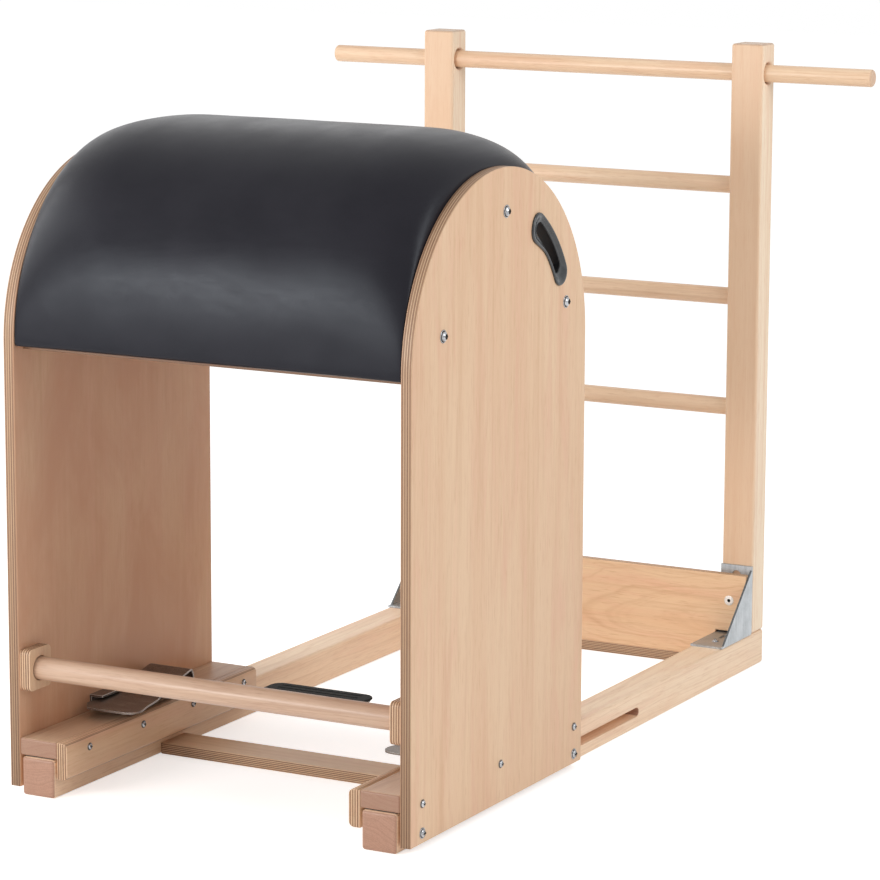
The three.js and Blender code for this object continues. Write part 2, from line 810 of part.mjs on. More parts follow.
// Draws a sheet of even thickness along a bent line of points
function bentSheet(line, thickness) {
  const offset = (i, distance) => {
    const before = line[Math.max(i - 1, 0)];
    const after = line[Math.min(i + 1, line.length - 1)];
    const into = (i > 0 ? line[i].clone().sub(before) : after.clone().sub(line[i])).normalize();
    const out = (i < line.length - 1 ? after.clone().sub(line[i]) : into.clone()).normalize();
    const normal = new THREE.Vector2(-into.y - out.y, into.x + out.x).normalize();
    const spread = normal.x * -into.y + normal.y * into.x;
    return line[i].clone().addScaledVector(normal, distance / spread);
  };
  const upper = line.map((point, i) => offset(i, thickness / 2));
  const lower = line.map((point, i) => offset(i, -thickness / 2));
  return new THREE.Shape([...upper, ...lower.reverse()]);
}

// Rounds the inner corners of a line of points
function easedLine(corners, radius) {
  const line = [corners[0]];
  for (let i = 1; i < corners.length - 1; i++) {
    const start = towards(corners[i], corners[i - 1], radius);
    const end = towards(corners[i], corners[i + 1], radius);
    line.push(...new THREE.QuadraticBezierCurve(start, corners[i], end).getPoints(cornerSteps));
  }
  line.push(corners[corners.length - 1]);
  return line;
}

function towards(from, to, distance) {
  return from.clone().add(to.clone().sub(from).setLength(distance));
}

// Height of the brake shoe's middle, measured from the pedal's shaft
function shoeLevel() {
  const top = railHeight + runningGap + brakePadHeight;
  return top + plateThickness / 2 - pedalAxisHeight;
}

function legRun() {
  return (ridgeRise - shoeLevel()) * Math.tan(THREE.MathUtils.degToRad(legAngle));
}

// Brake arm: one folded plate with a flat front, a ridge and a tongue that ends in the shoe
function armGeometry(side) {
  const shoeY = ridgeSetback + legRun();
  const line = easedLine([
    new THREE.Vector2(-armFrontReach, 0),
    new THREE.Vector2(armFlatLength - armFrontReach, 0),
    new THREE.Vector2(ridgeSetback, ridgeRise),
    new THREE.Vector2(shoeY, shoeLevel()),
    new THREE.Vector2(shoeY - shoeLength, shoeLevel()),
  ], armBend);
  const outerX = panelInnerX - armInset;
  const sheet = alongX(sweep(bentSheet(line, plateThickness), 2 * armWidth));
  sheet.translate(side * outerX, 0, 0);
  const folded = solidOf(sheet).intersect(solidOf(armOutline(side)));
  const lugX = panelInnerX - armInset - armLugInset;
  const lug = borer(2 * armLugRadius, lugThickness).translate(side * lugX, 0, 0);
  return cut(geometryOf(folded.add(solidOf(lug))), [...tongueCuts(side), shaftHole()]);
}

// Outline of the arm from above: waisted inside, its inner front corner round and its outer one clipped
function armOutline(side) {
  const outerX = panelInnerX - armInset;
  const innerX = outerX - armWidth;
  const rear = ridgeSetback + legRun() + plateThickness;
  const front = -armFrontReach;
  const shape = new THREE.Shape();
  const waistX = innerX + armWaistTaper;
  shape.moveTo(side * (outerX - armClipWidth), front);
  shape.lineTo(side * outerX, front + armClipLength);
  shape.lineTo(side * outerX, rear);
  shape.lineTo(side * (innerX + armRearTaper), rear);
  shape.quadraticCurveTo(side * waistX, front + armWaistSetback, side * innerX, front + armCorner);
  shape.quadraticCurveTo(side * innerX, front, side * (innerX + armCorner), front);
  shape.closePath();
  return sweep(shape, 2 * (ridgeRise - shoeLevel()), 0, 2 * cornerSteps);
}

// Blocks that narrow the leg of the arm to its tongue
function tongueCuts(side) {
  const reach = 2 * armWidth;
  const top = ridgeRise - ridgeLip;
  const depth = top - shoeLevel() + cutOverrun;
  const length = 2 * shoeLength + legRun();
  const middleY = ridgeSetback + legRun() - length / 2 + cutOverrun;
  const tongueX = railCentreX;
  return [-1, 1].map((end) => {
    const x = side * tongueX + end * (tongueWidth + reach) / 2;
    return box(reach, length, depth).translate(x, middleY + armLugRadius, top - depth / 2);
  });
}

function shaftHole() {
  return borer(shaftDiameter + 2 * seatGap, overallWidth);
}

function brakePadGeometry() {
  const length = shoeLength - 2 * brakePadInset;
  return box(tongueWidth - 2 * brakePadInset, length, brakePadHeight);
}

// Tread plate with two lugs round the shaft
function treadPlateGeometry() {
  const width = treadWidth - 2 * treadPlateInset;
  const length = treadFront + treadRear - 2 * treadPlateInset;
  const plan = roundedRectangle(width, length, treadCorner - treadPlateInset);
  const plate = sweep(plan, plateThickness);
  plate.translate(0, (treadRear - treadFront) / 2, treadPlateRise + plateThickness / 2);
  const lugs = [-1, 1].map((end) => {
    const ring = borer(2 * treadLugRadius, lugThickness);
    const web = box(lugThickness, 2 * treadLugRadius, treadPlateRise + plateThickness / 2);
    web.translate(0, 0, (treadPlateRise + plateThickness / 2) / 2);
    return join([ring, web]).translate(end * treadLugSpacing / 2, 0, 0);
  });
  return cut(join([plate, ...lugs]), [shaftHole()]);
}

// Rubber tread with grooves across it
function treadGeometry() {
  const length = treadFront + treadRear;
  const plan = roundedRectangle(treadWidth, length, treadCorner);
  const tread = sweep(plan, treadThickness, treadEdge);
  const pitch = length / (treadRibs + 1);
  const grooves = [];
  for (let i = 1; i <= treadRibs; i++) {
    const groove = box(treadWidth - 2 * treadCorner, treadGrooveWidth, 2 * treadGrooveDepth);
    grooves.push(groove.translate(0, i * pitch - length / 2, treadThickness / 2));
  }
  return cut(tread, grooves);
}

// Pivot bracket on the panel: a plate with a boss for the shaft and a tab bent over the arm
function pivotBracketGeometry(side) {
  const foot = runnerTop + seatGap - pedalAxisHeight;
  const top = tabRise + pivotThickness;
  const shape = new THREE.Shape();
  shape.moveTo(-pivotFrontReach, foot);
  shape.lineTo(pivotRearReach, foot);
  shape.lineTo(pivotRearReach, foot + pivotThickness);
  shape.absarc(0, 0, pivotRadius, 0, Math.PI / 2);
  shape.lineTo(-pivotRadius - pivotThickness, top);
  shape.lineTo(-pivotFrontReach, top);
  shape.closePath();
  const plateX = panelInnerX - pivotThickness / 2;
  const plate = alongX(sweep(shape, pivotThickness)).translate(side * plateX, 0, 0);
  const bossLength = pivotBossLength + pivotThickness / 2;
  const bossX = plateX - bossLength / 2;
  const boss = borer(2 * pivotBossRadius, bossLength).translate(side * bossX, 0, 0);
  const tab = box(tabWidth - pivotThickness / 2, tabLength, pivotThickness);
  const tabX = panelInnerX - (tabWidth + pivotThickness / 2) / 2;
  tab.translate(side * tabX, tabLength / 2 - pivotFrontReach, tabRise + pivotThickness / 2);
  return cut(join([plate, boss, tab]), [shaftHole()]);
}

// Torsion spring round the shaft, with its lower leg on the runner and its upper leg under the arm
function springGeometry(side) {
  const start = THREE.MathUtils.degToRad(springLowerTilt - 90);
  const end = THREE.MathUtils.degToRad(springUpperTilt + 90) + springTurns * 2 * Math.PI;
  const pitch = springWire + springGap;
  const steps = Math.round((end - start) / (2 * Math.PI) * springStepsPerTurn);
  const loops = [];
  const middles = [];
  const add = (turn, run) => {
    const radial = new THREE.Vector3(0, Math.cos(turn), Math.sin(turn));
    const along = new THREE.Vector3(0, -Math.sin(turn), Math.cos(turn));
    const across = new THREE.Vector3(-1, 0, 0);
    const middle = radial.clone().multiplyScalar(springRadius).addScaledVector(along, run);
    middle.x = side * ((turn - start) / (2 * Math.PI)) * pitch;
    const loop = [];
    for (let j = 0; j < springSides; j++) {
      const around = (j / springSides) * 2 * Math.PI;
      const point = middle.clone().addScaledVector(radial, Math.cos(around) * springWire / 2);
      loop.push(point.addScaledVector(across, Math.sin(around) * springWire / 2));
    }
    loops.push(loop);
    middles.push(middle);
  };
  add(start, -springLeg);
  for (let i = 0; i <= steps; i++) add(start + (i / steps) * (end - start), 0);
  add(end, springLeg);
  console.log(`Least gap between a spring's turns: ${leastGap(middles).toFixed(2)} mm`);
  return solidOfLoops(loops, false);
}

// Least distance between a wire's surface and itself, at points at least half a turn apart
function leastGap(middles) {
  let least = Infinity;
  for (let i = 0; i < middles.length; i++) {
    for (let j = i + springStepsPerTurn / 2; j < middles.length; j++) {
      least = Math.min(least, middles[i].distanceTo(middles[j]) - springWire);
    }
  }
  return least;
}

function barrelCarriage() {
  const carriage = new THREE.Group();
  carriage.position.set(0, barrelCentreY, 0);
  const footY = footBarSetback - archRadius;
  for (const [word, side] of sides) {
    const runnerX = side * (runnerInnerX + runnerWidth / 2);
    const stripX = side * (runnerInnerX - stripThickness / 2);
    const glideZ = runnerBottom - glideThickness / 2;
    const blockX = side * (panelInnerX - footBlockThickness / 2);
    const runnerZ = runnerBottom + runnerHeight / 2;
    const stripZ = runnerTop - stripHeight / 2;
    carriage.add(piece(`${word}_side_panel`, panelGeometry(side), birchPly(), 0, 0, archHeight));
    carriage.add(piece(`${word}_runner_block`, runnerGeometry(), maple(), runnerX, 0, runnerZ));
    carriage.add(piece(`${word}_runner_glide`, glideGeometry(), nylon(), side * railCentreX, 0, glideZ));
    carriage.add(piece(`${word}_guide_strip`, stripGeometry(side), birchPly(), stripX, 0, stripZ));
    const block = footBlockGeometry();
    carriage.add(piece(`${word}_foot_bar_block`, block, birchPly(), blockX, footY, footBarHeight));
    carriage.add(piece(`${word}_handhold_liner`, linerGeometry(side), plastic(), 0, 0, archHeight));
  }
  const footBar = roundBar(footBarDiameter, 2 * (panelInnerX - seatGap), plyEdge);
  carriage.add(piece('foot_bar', footBar, maple(), 0, footY, footBarHeight));
  for (const [word, y, z] of barrelBoltPlaces) {
    carriage.add(piece(`${word}_batten`, battenGeometry(), whitewood(), 0, y, archHeight + z));
  }
  for (const [word, side] of sides) {
    const formerX = side * formerSpacing / 2;
    carriage.add(piece(`${word}_former`, formerGeometry(), birchPly(), formerX, 0, archHeight));
  }
  const sillZ = archHeight + sillHeight / 2 - sillDrop;
  carriage.add(piece('front_sill', sillGeometry(), birchPly(), 0, -sillMiddleY, sillZ));
  carriage.add(piece('rear_sill', sillGeometry(), birchPly(), 0, sillMiddleY, sillZ));
  carriage.add(piece('barrel_skin', skinGeometry(), birchPly(), 0, 0, archHeight));
  carriage.add(piece('barrel_pad', padGeometry(), vinyl(), 0, 0, archHeight));
  return carriage;
}

function barrelBolts() {
  const bolts = new THREE.Group();
  bolts.position.set(0, barrelCentreY, 0);
  const head = { radius: boltHeadDiameter / 2, height: boltHeadHeight };
  const guideHead = { radius: guideHeadDiameter / 2, height: guideHeadHeight };
  const collar = { radius: guideCollarDiameter / 2, length: guideCollarLength };
  const bare = { radius: 0, length: 0 };
  const guides = [['front', guideBoltFrontY], ['rear', guideBoltRearY]];
  for (const [word, side] of sides) {
    const x = side * overallWidth / 2;
    for (const [place, y, z] of barrelBoltPlaces) {
      const bolt = boltGeometry(side, head, barrelBoltGrip, bare);
      bolts.add(piece(`${word}_${place}_barrel_bolt`, bolt, chrome(), x, y, archHeight + z));
    }
    for (const [place, y] of guides) {
      const bolt = boltGeometry(side, guideHead, panelThickness + seatGap, collar);
      bolts.add(piece(`${word}_${place}_guide_bolt`, bolt, chrome(), x, y, guideBoltHeight));
    }
  }
  return bolts;
}

function releasePedal() {
  const pedal = new THREE.Group();
  pedal.position.set(0, barrelCentreY + pedalAxisY, pedalAxisHeight);
  const shaft = roundBar(shaftDiameter, 2 * (panelInnerX - seatGap), shaftEdge);
  const treadY = (treadRear - treadFront) / 2;
  const treadZ = treadPlateRise + plateThickness + treadThickness / 2;
  const brakeY = ridgeSetback + legRun() - shoeLength / 2;
  const brakeZ = shoeLevel() - (plateThickness + brakePadHeight) / 2;
  const springX = panelInnerX - springInset - (springTurns + 1) * (springWire + springGap);
  pedal.add(piece('pedal_shaft', shaft, zincSteel()));
  pedal.add(piece('pedal_tread_plate', treadPlateGeometry(), darkSteel()));
  pedal.add(piece('pedal_tread', treadGeometry(), rubber(), 0, treadY, treadZ));
  for (const [word, side] of sides) {
    pedal.add(piece(`${word}_brake_arm`, armGeometry(side), darkSteel()));
    pedal.add(piece(`${word}_brake_pad`, brakePadGeometry(), rubber(), side * railCentreX, brakeY, brakeZ));
    pedal.add(piece(`${word}_pivot_bracket`, pivotBracketGeometry(side), darkSteel()));
    pedal.add(piece(`${word}_return_spring`, springGeometry(side), zincSteel(), side * springX, 0, 0));
  }
  return pedal;
}

const ladderBarrel = new THREE.Group();
ladderBarrel.add(ladderBase(), barrelCarriage(), barrelBolts(), releasePedal());

export default ladderBarrel;
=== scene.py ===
# Looks of the pilates ladder barrel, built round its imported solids.
# Metres, in the same frame as the solids: X across, Y from the barrel to the ladder, Z up.

import math

import bmesh
import bpy
from mathutils import Matrix, Vector, noise
from mathutils.geometry import tessellate_polygon

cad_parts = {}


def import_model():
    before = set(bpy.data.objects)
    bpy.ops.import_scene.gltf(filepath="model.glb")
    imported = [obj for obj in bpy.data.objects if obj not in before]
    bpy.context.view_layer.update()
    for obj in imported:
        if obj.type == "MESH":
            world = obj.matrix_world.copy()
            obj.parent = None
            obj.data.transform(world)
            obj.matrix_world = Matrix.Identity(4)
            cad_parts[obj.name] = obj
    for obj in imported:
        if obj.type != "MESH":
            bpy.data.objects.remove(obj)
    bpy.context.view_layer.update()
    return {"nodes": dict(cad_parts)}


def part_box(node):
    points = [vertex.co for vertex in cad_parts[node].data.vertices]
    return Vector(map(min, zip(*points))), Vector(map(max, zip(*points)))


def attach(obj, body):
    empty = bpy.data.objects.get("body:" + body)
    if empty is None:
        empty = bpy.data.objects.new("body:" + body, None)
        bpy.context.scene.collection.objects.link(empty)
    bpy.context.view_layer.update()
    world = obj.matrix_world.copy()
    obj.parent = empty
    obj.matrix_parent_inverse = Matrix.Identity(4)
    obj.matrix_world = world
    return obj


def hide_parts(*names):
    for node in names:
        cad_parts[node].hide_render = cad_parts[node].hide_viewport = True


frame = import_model()

SIDES = (("left", -1), ("right", 1))
QUARTER = math.pi / 2


def middle_of(node):
    """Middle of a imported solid's box."""
    low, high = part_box(node)
    return (low + high) / 2


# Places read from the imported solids
panel_low, panel_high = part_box("right_side_panel")
rail_low, rail_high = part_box("right_base_rail")
strip_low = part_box("right_guide_strip")[0]
board_low, board_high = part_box("rear_cross_board")
pad_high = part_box("barrel_pad")[1]

panel_outer = panel_high.x
panel_inner = panel_low.x
arch_radius = (panel_high.y - panel_low.y) / 2
arch_y = (panel_high.y + panel_low.y) / 2
arch_z = panel_high.z - arch_radius
skin_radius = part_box("barrel_skin")[1].z - arch_z
_, shaft_y, shaft_z = middle_of("pedal_shaft")

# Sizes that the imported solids' boxes don't give
ply_edge = 0.0015
plies = 9
clearance = 0.0003
overrun = 0.002
rail_round = 0.0048
groove_height = 0.015
groove_depth = 0.024
groove_chamfer = 0.0008
groove_travel = 0.27
strip_round = 0.008
runner_round = 0.003
window_width = 0.04
window_length = 0.046
window_front = 0.026
window_round = 0.004
dowel_end = 0.004
bar_chamfer = 0.0045
bar_gap = 0.001
board_shoulder = 0.0648
bracket_plate = 0.0035
plate_edge = 0.0005
rung_mortise = 0.026
block_round = 0.008
block_edge = 0.001
handhold_radius = 0.2055
handhold_middle = math.radians(43.06)
handhold_flange_angle = math.radians(14.67)
handhold_grip_angle = math.radians(11.43)
handhold_body_angle = (handhold_flange_angle + handhold_grip_angle) / 2
handhold_flange_half = 0.02
handhold_swell = 0.006
handhold_body_half = 0.0155
handhold_grip_half = 0.0105
handhold_rise = 0.0035
handhold_reach = 0.004
pad_front_rise = 0.0015
pad_end_inset = 0.002
pad_fullness = 2.55
pad_shoulder = 0.142
pad_lip = 0.009
pad_lower_drop = 0.003
pad_end_tuck_share = 0.4
pad_slack = 0.0006
pad_dimples = ((14.0, 0.0007), (33.0, 0.00025))
skin_thick = 0.008
skin_plies = 5
skin_sides = 52
shaft_edge = 0.001
tread_edge = 0.0004
spring_wire = 0.002
spring_pitch = 0.003
spring_radius = 0.0098
spring_leg = 0.025
spring_coils = 3
spring_low_lean = math.radians(12.4)
spring_high_lean = math.radians(14)
screw_sides = 64
screw_off = 0.0001
screw_row = 0.0695
panel_screw_rows = (panel_low.y + 0.033, arch_y + 0.002, panel_high.y - 0.0265)
strip_screw_rows = tuple(strip_low.y + inset for inset in (0.06, 0.207, 0.35, 0.5))
board_screw_inset = 0.0295
board_screw_rise = 0.1
bracket_screw_inset = 0.038
washer_rise = 0.0011
bolt_radius = 0.004
bolt_tip = 0.0005
collar_radius = 0.007
collar_length = 0.021
collar_edge = 0.0004

# Stage and camera
floor_reach = 14.0
floor_drop = 0.0002
floor_glow = 0.56
sky_light = 0.52
camera_place = (2.747, -5.028, 1.528)
camera_angles = (28.3195, 79.4504, 0.2172)
camera_lens = 151.32
camera_sensor = 36
camera_far = 60


def tone(red, green, blue):
    """A colour as it looks on a screen, 0 to 255, turned into the shader's linear numbers."""
    shares = [value / 255 for value in (red, green, blue)]
    return (*(s / 12.92 if s <= 0.04045 else ((s + 0.055) / 1.055) ** 2.4 for s in shares), 1.0)


def palette(*rows):
    """Several screen colours at once."""
    return tuple(tone(*row) for row in rows)


class Nodes:
    """A node tree of a material or a world, with one short call for each kind of node."""

    def __init__(self, name, owners=bpy.data.materials, shader="Principled BSDF"):
        self.owner = owners.new(name)
        self.owner.use_nodes = True
        self.tree = self.owner.node_tree
        self.shader = self.tree.nodes[shader]
        places = self.add("ShaderNodeTexCoord").outputs
        self.point = places["Object"]
        self.facing = places["Normal"]

    def add(self, kind, values=None, **settings):
        node = self.tree.nodes.new(kind)
        for key, value in settings.items():
            setattr(node, key, value)
        for key, value in (values or {}).items():
            self.feed(node.inputs[key], value)
        return node

    def feed(self, socket, value):
        if isinstance(value, bpy.types.NodeSocket):
            self.tree.links.new(value, socket)
        else:
            socket.default_value = value

    def math(self, operation, a, b=0.0):
        return self.add("ShaderNodeMath", {0: a, 1: b}, operation=operation).outputs[0]

    def plus(self, a, b):
        return self.math("ADD", a, b)

    def minus(self, a, b):
        return self.math("SUBTRACT", a, b)

    def times(self, a, b):
        return self.math("MULTIPLY", a, b)

    def parts(self, vector):
        return self.add("ShaderNodeSeparateXYZ", {0: vector}).outputs

    def join(self, x, y, z):
        return self.add("ShaderNodeCombineXYZ", {0: x, 1: y, 2: z}).outputs[0]

    def scaled(self, scale):
        """The object's own point, scaled alike or by a number for each axis."""
        scales = scale if isinstance(scale, tuple) else (scale, scale, scale)
        return self.add("ShaderNodeMapping", {"Vector": self.point, "Scale": scales}).outputs[0]

    def noise(self, vector, detail=2.0, roughness=0.5, distortion=0.0):
        values = {"Vector": vector, "Scale": 1.0, "Detail": detail,
                  "Roughness": roughness, "Distortion": distortion}
        return self.add("ShaderNodeTexNoise", values).outputs[0]

    def grit(self, scale, detail=2.0, roughness=0.5):
        return self.noise(self.scaled(scale), detail, roughness)

    def line_noise(self, value, detail=2.0):
        values = {"W": value, "Scale": 1.0, "Detail": detail}
        return self.add("ShaderNodeTexNoise", values, noise_dimensions="1D").outputs[0]

    def cells(self, scale, feature="F1"):
        values = {"Vector": self.scaled(scale), "Scale": 1.0}
        return self.add("ShaderNodeTexVoronoi", values, feature=feature).outputs[0]

    def span(self, value, low, high, to_low=0.0, to_high=1.0):
        values = {"Value": value, "From Min": low, "From Max": high, "To Min": to_low, "To Max": to_high}
        return self.add("ShaderNodeMapRange", values, interpolation_type="SMOOTHSTEP").outputs[0]

    def mix(self, factor, a, b):
        return self.add("ShaderNodeMix", {0: factor, 6: a, 7: b}, data_type="RGBA").outputs[2]

    def layer(self, colour, other, pattern, low, high, share):
        """The colour with up to a share of another where a pattern rises from low to high."""
        return self.mix(self.span(pattern, low, high, 0.0, share), colour, other)

    def bump(self, height, distance, strength=1.0):
        values = {"Height": height, "Distance": distance, "Strength": strength}
        return self.add("ShaderNodeBump", values).outputs[0]

    def seen(self):
        """One where the camera looks, straight, in a reflection or through glass, and zero elsewhere."""
        path = self.add("ShaderNodeLightPath").outputs
        first = self.math("MAXIMUM", path["Is Camera Ray"], path["Is Glossy Ray"])
        return self.math("MAXIMUM", first, path["Is Transmission Ray"])

    def finish(self, colour, roughness, normal=None, **constants):
        self.feed(self.shader.inputs["Base Color"], colour)
        self.feed(self.shader.inputs["Roughness"], roughness)
        if normal is not None:
            self.feed(self.shader.inputs["Normal"], normal)
        for name, value in constants.items():
            self.shader.inputs[name.replace("_", " ").title().replace("Ior", "IOR")].default_value = value
        return self.owner


def grain_axes(nodes, along):
    """The point's two places across the grain and its place along it, shifted for each piece."""
    x, y, z = nodes.parts(nodes.point)
    chance = nodes.add("ShaderNodeObjectInfo").outputs["Random"]
    places = {"x": (y, z, x), "y": (x, z, y), "z": (x, y, z)}[along]
    return [nodes.plus(place, nodes.times(chance, shift))
            for place, shift in zip(places, (0.031, 0.017, 4.7))]


def stretched(nodes, places, across, along):
    """The point of a pattern stretched along the grain, from the grain's three places."""
    return nodes.join(*(nodes.times(place, scale) for place, scale in zip(places, (across, across, along))))


def face_grain(nodes, places, tones, rings, lines=0.3):
    """Colour of a planed face: broad bands, pink clouds, streaks, growth lines and fine dark flecks."""
    light, mid, warm, dark, _ = tones

    def grain(across, along, *kind):
        return nodes.noise(stretched(nodes, places, across, along), *kind)

    pores = grain(900.0, 40.0, 3.0, 0.65)
    colour = nodes.mix(nodes.span(grain(15.0, 0.7, 3.0, 0.6, 0.5), 0.3, 0.7), light, mid)
    colour = nodes.layer(colour, warm, grain(26.0, 3.2, 4.0, 0.6, 0.8), 0.42, 0.78, 0.8)
    colour = nodes.layer(colour, dark, grain(105.0, 2.6, 4.0, 0.65, 0.4), 0.44, 0.76, 0.42)
    colour = nodes.layer(colour, dark, rings, 0.46, 0.76, lines)
    colour = nodes.layer(colour, dark, grain(430.0, 30.0, 2.0, 0.6), 0.52, 0.76, 0.44)
    return nodes.layer(colour, dark, pores, 0.53, 0.78, 0.32), pores


def ring_pattern(nodes, places, pith, tilt, ring, wander):
    """Growth rings about a far pith that leans to the piece, each ring a little unlike the last."""
    across_1, across_2, length = places
    slow = nodes.noise(stretched(nodes, places, 7.0, 1.1), 3.0, 0.55)
    drift = nodes.times(nodes.minus(slow, 0.5), wander)
    side_1 = nodes.plus(nodes.plus(across_1, pith[0]), nodes.times(length, tilt))
    side_2 = nodes.plus(across_2, pith[1])
    squares = nodes.plus(nodes.times(side_1, side_1), nodes.times(side_2, side_2))
    radius = nodes.plus(nodes.math("SQRT", squares), drift)
    return nodes.line_noise(nodes.math("DIVIDE", radius, ring), 3.0)


def solid_wood(name, along, tones, pith=(0.16, 0.09), tilt=0.02, ring=0.004, coat=0.12, ends=0.94,
               front=0.0):
    """Lacquered solid wood: planed faces, and end grain with its rings and pores.

    The front share darkens and warms the faces that look along Y towards the dark tone: painted shade on
    the faces turned from the key light."""
    nodes = Nodes(name)
    places = grain_axes(nodes, along)
    rings = ring_pattern(nodes, places, pith, tilt, ring, 0.05)
    colour, pores = face_grain(nodes, places, tones, rings)
    turned = nodes.parts(nodes.facing)
    # Painted shade: faces that look along Y are pulled towards the dark tone.
    if front:
        front_painted_shade = nodes.times(nodes.math("ABSOLUTE", turned[1]), front)
        colour = nodes.mix(front_painted_shade, colour, tones[3])
    open_pores = nodes.grit(700.0, 2.0, 0.6)
    stain = nodes.grit(60.0, 3.0)
    end_colour = nodes.layer(tones[4], tone(150, 108, 88), rings, 0.4, 0.66, 0.45)
    end_colour = nodes.layer(end_colour, tone(138, 98, 78), open_pores, 0.45, 0.7, 0.5)
    end_colour = nodes.layer(end_colour, tone(158, 116, 96), stain, 0.4, 0.75, 0.4)
    end_on = nodes.math("ABSOLUTE", turned["xyz".index(along)])
    colour = nodes.layer(colour, end_colour, end_on, 0.35, 0.7, ends)
    height = nodes.plus(pores, nodes.times(rings, 0.6))
    rough = nodes.span(pores, 0.3, 0.8, 0.40, 0.54)
    return nodes.finish(colour, rough, nodes.bump(height, 0.0001, 0.5),
                        coat_weight=coat, coat_roughness=0.28, specular_ior_level=0.35)


def ply_level(nodes, node, thick, count, wobble=None):
    """Number of the ply at the point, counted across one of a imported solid's boxes."""
    low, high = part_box(node)
    axis = "xyz".index(thick)
    place = nodes.parts(nodes.point)[axis]
    if thick == "x":
        place = nodes.math("ABSOLUTE", place)
    level = nodes.math("DIVIDE", nodes.minus(place, low[axis]), (high[axis] - low[axis]) / count)
    if wobble is not None:
        level = nodes.plus(level, nodes.times(nodes.minus(wobble, 0.5), 0.2))
    return nodes.math("MINIMUM", nodes.math("MAXIMUM", level, 0.02), count - 0.02)


def ply_edge_colour(nodes, level, count, tones):
    """Cut edge of ply: dark end-grain plies between light ones, parted by thin glue lines."""
    ply = nodes.math("FLOOR", level)
    crossed = nodes.math("MODULO", ply, 2.0)
    within = nodes.math("FRACT", level)
    to_glue = nodes.math("MINIMUM", within, nodes.minus(1.0, within))
    below = nodes.math("LESS_THAN", level, count - 0.6)
    inside = nodes.times(nodes.math("GREATER_THAN", level, 0.6), below)
    glue = nodes.times(nodes.span(to_glue, 0.03, 0.24, 1.0, 0.0), inside)
    speck = nodes.grit(640.0)
    chance = nodes.times(nodes.add("ShaderNodeObjectInfo").outputs["Random"], 9.0)
    shade = nodes.line_noise(nodes.times(nodes.plus(ply, chance), 3.7), 0.0)
    cut = nodes.layer(tones[4], tone(116, 84, 60), speck, 0.35, 0.7, 0.7)
    cut = nodes.layer(cut, tones[3], shade, 0.35, 0.65, 0.4)
    return cut, crossed, glue, speck


def plywood(name, node, thick, along, tones, back=None, count=plies, rim=0.0, calm=0.0):
    """Lacquered ply: veneer on both faces, and crossed plies wherever its edge is cut.

    The rim share darkens the cut edges, the calm share evens out the plies of the upper edge, and the back
    tone gives the inner face darker, redder blotches, partly the back veneer's own figure and partly
    painted shade."""
    nodes = Nodes(name)
    places = grain_axes(nodes, along)
    level = ply_level(nodes, node, thick, count, nodes.grit(45.0))
    cut, crossed, glue, speck = ply_edge_colour(nodes, level, count, tones)
    facing = nodes.parts(nodes.facing)
    if calm:
        kept = nodes.minus(1.0, nodes.times(nodes.math("ABSOLUTE", facing[2]), calm))
        crossed = nodes.times(crossed, kept)
        glue = nodes.times(glue, kept)
    rings = ring_pattern(nodes, places, (0.21, 0.03), 0.05, 0.011, 0.11)
    colour, pores = face_grain(nodes, places, tones, rings, 0.14)
    # Painted shade: the inner face's veneer gets darker, redder blotches, partly the back veneer's own
    # figure and partly the shade on the panels' inner faces.
    if back:
        blotch = nodes.noise(stretched(nodes, places, 9.0, 3.5), 4.0, 0.65, 0.6)
        back_blotch_and_shade = nodes.times(nodes.math("LESS_THAN", level, 1.0), nodes.span(blotch, 0.3, 0.7, 0.35, 0.9))
        colour = nodes.mix(back_blotch_and_shade, colour, back)
    colour = nodes.mix(crossed, colour, cut)
    colour = nodes.mix(nodes.times(glue, 0.9), colour, tone(88, 62, 44))
    if rim:
        on_face = nodes.math("ABSOLUTE", facing["xyz".index(thick)])
        colour = nodes.mix(nodes.span(on_face, 0.5, 0.9, rim, 0.0), colour, tone(140, 110, 86))
    height = nodes.minus(pores, nodes.times(glue, 0.8))
    height = nodes.plus(height, nodes.times(crossed, speck))
    rough = nodes.plus(nodes.span(pores, 0.3, 0.8, 0.42, 0.55), nodes.times(crossed, 0.15))
    return nodes.finish(colour, rough, nodes.bump(height, 0.0001, 0.5),
                        coat_weight=0.1, coat_roughness=0.3, specular_ior_level=0.35)


# Each wood's light, middle, warm and dark tones, and the tone of its cut ends
MAPLE = palette((250, 224, 194), (243, 210, 177), (240, 199, 168), (212, 169, 131), (174, 131, 110))
UPRIGHT = palette((254, 236, 210), (248, 225, 196), (246, 214, 186), (222, 178, 141), (186, 146, 124))
DOWEL = palette((243, 213, 181), (236, 200, 165), (233, 190, 157), (204, 158, 120), (174, 131, 110))
FOOT_BAR = palette((204, 172, 147), (194, 161, 137), (190, 153, 131), (160, 123, 98), (155, 118, 97))
# Runner tones are darker than the maple's: painted shade on the runner blocks, whose tops sit in shade
# beside the panels.
RUNNER_PAINTED_SHADE = palette((216, 186, 158), (208, 175, 146), (204, 163, 137), (180, 140, 109), (162, 125, 104))
# Sill tones are darkened as painted shade, for the sills tucked under the pad.
SILL_PAINTED_SHADE = palette((136, 104, 80), (126, 96, 74), (124, 90, 70), (106, 78, 60), (92, 68, 52))
PANEL = palette((227, 195, 162), (222, 185, 151), (222, 176, 147), (202, 159, 121), (150, 112, 84))
BOARD = palette((248, 212, 172), (242, 198, 156), (242, 190, 154), (212, 160, 116), (196, 154, 120))
DEAL = palette((226, 202, 160), (213, 184, 138), (216, 186, 146), (190, 156, 112), (190, 158, 118))

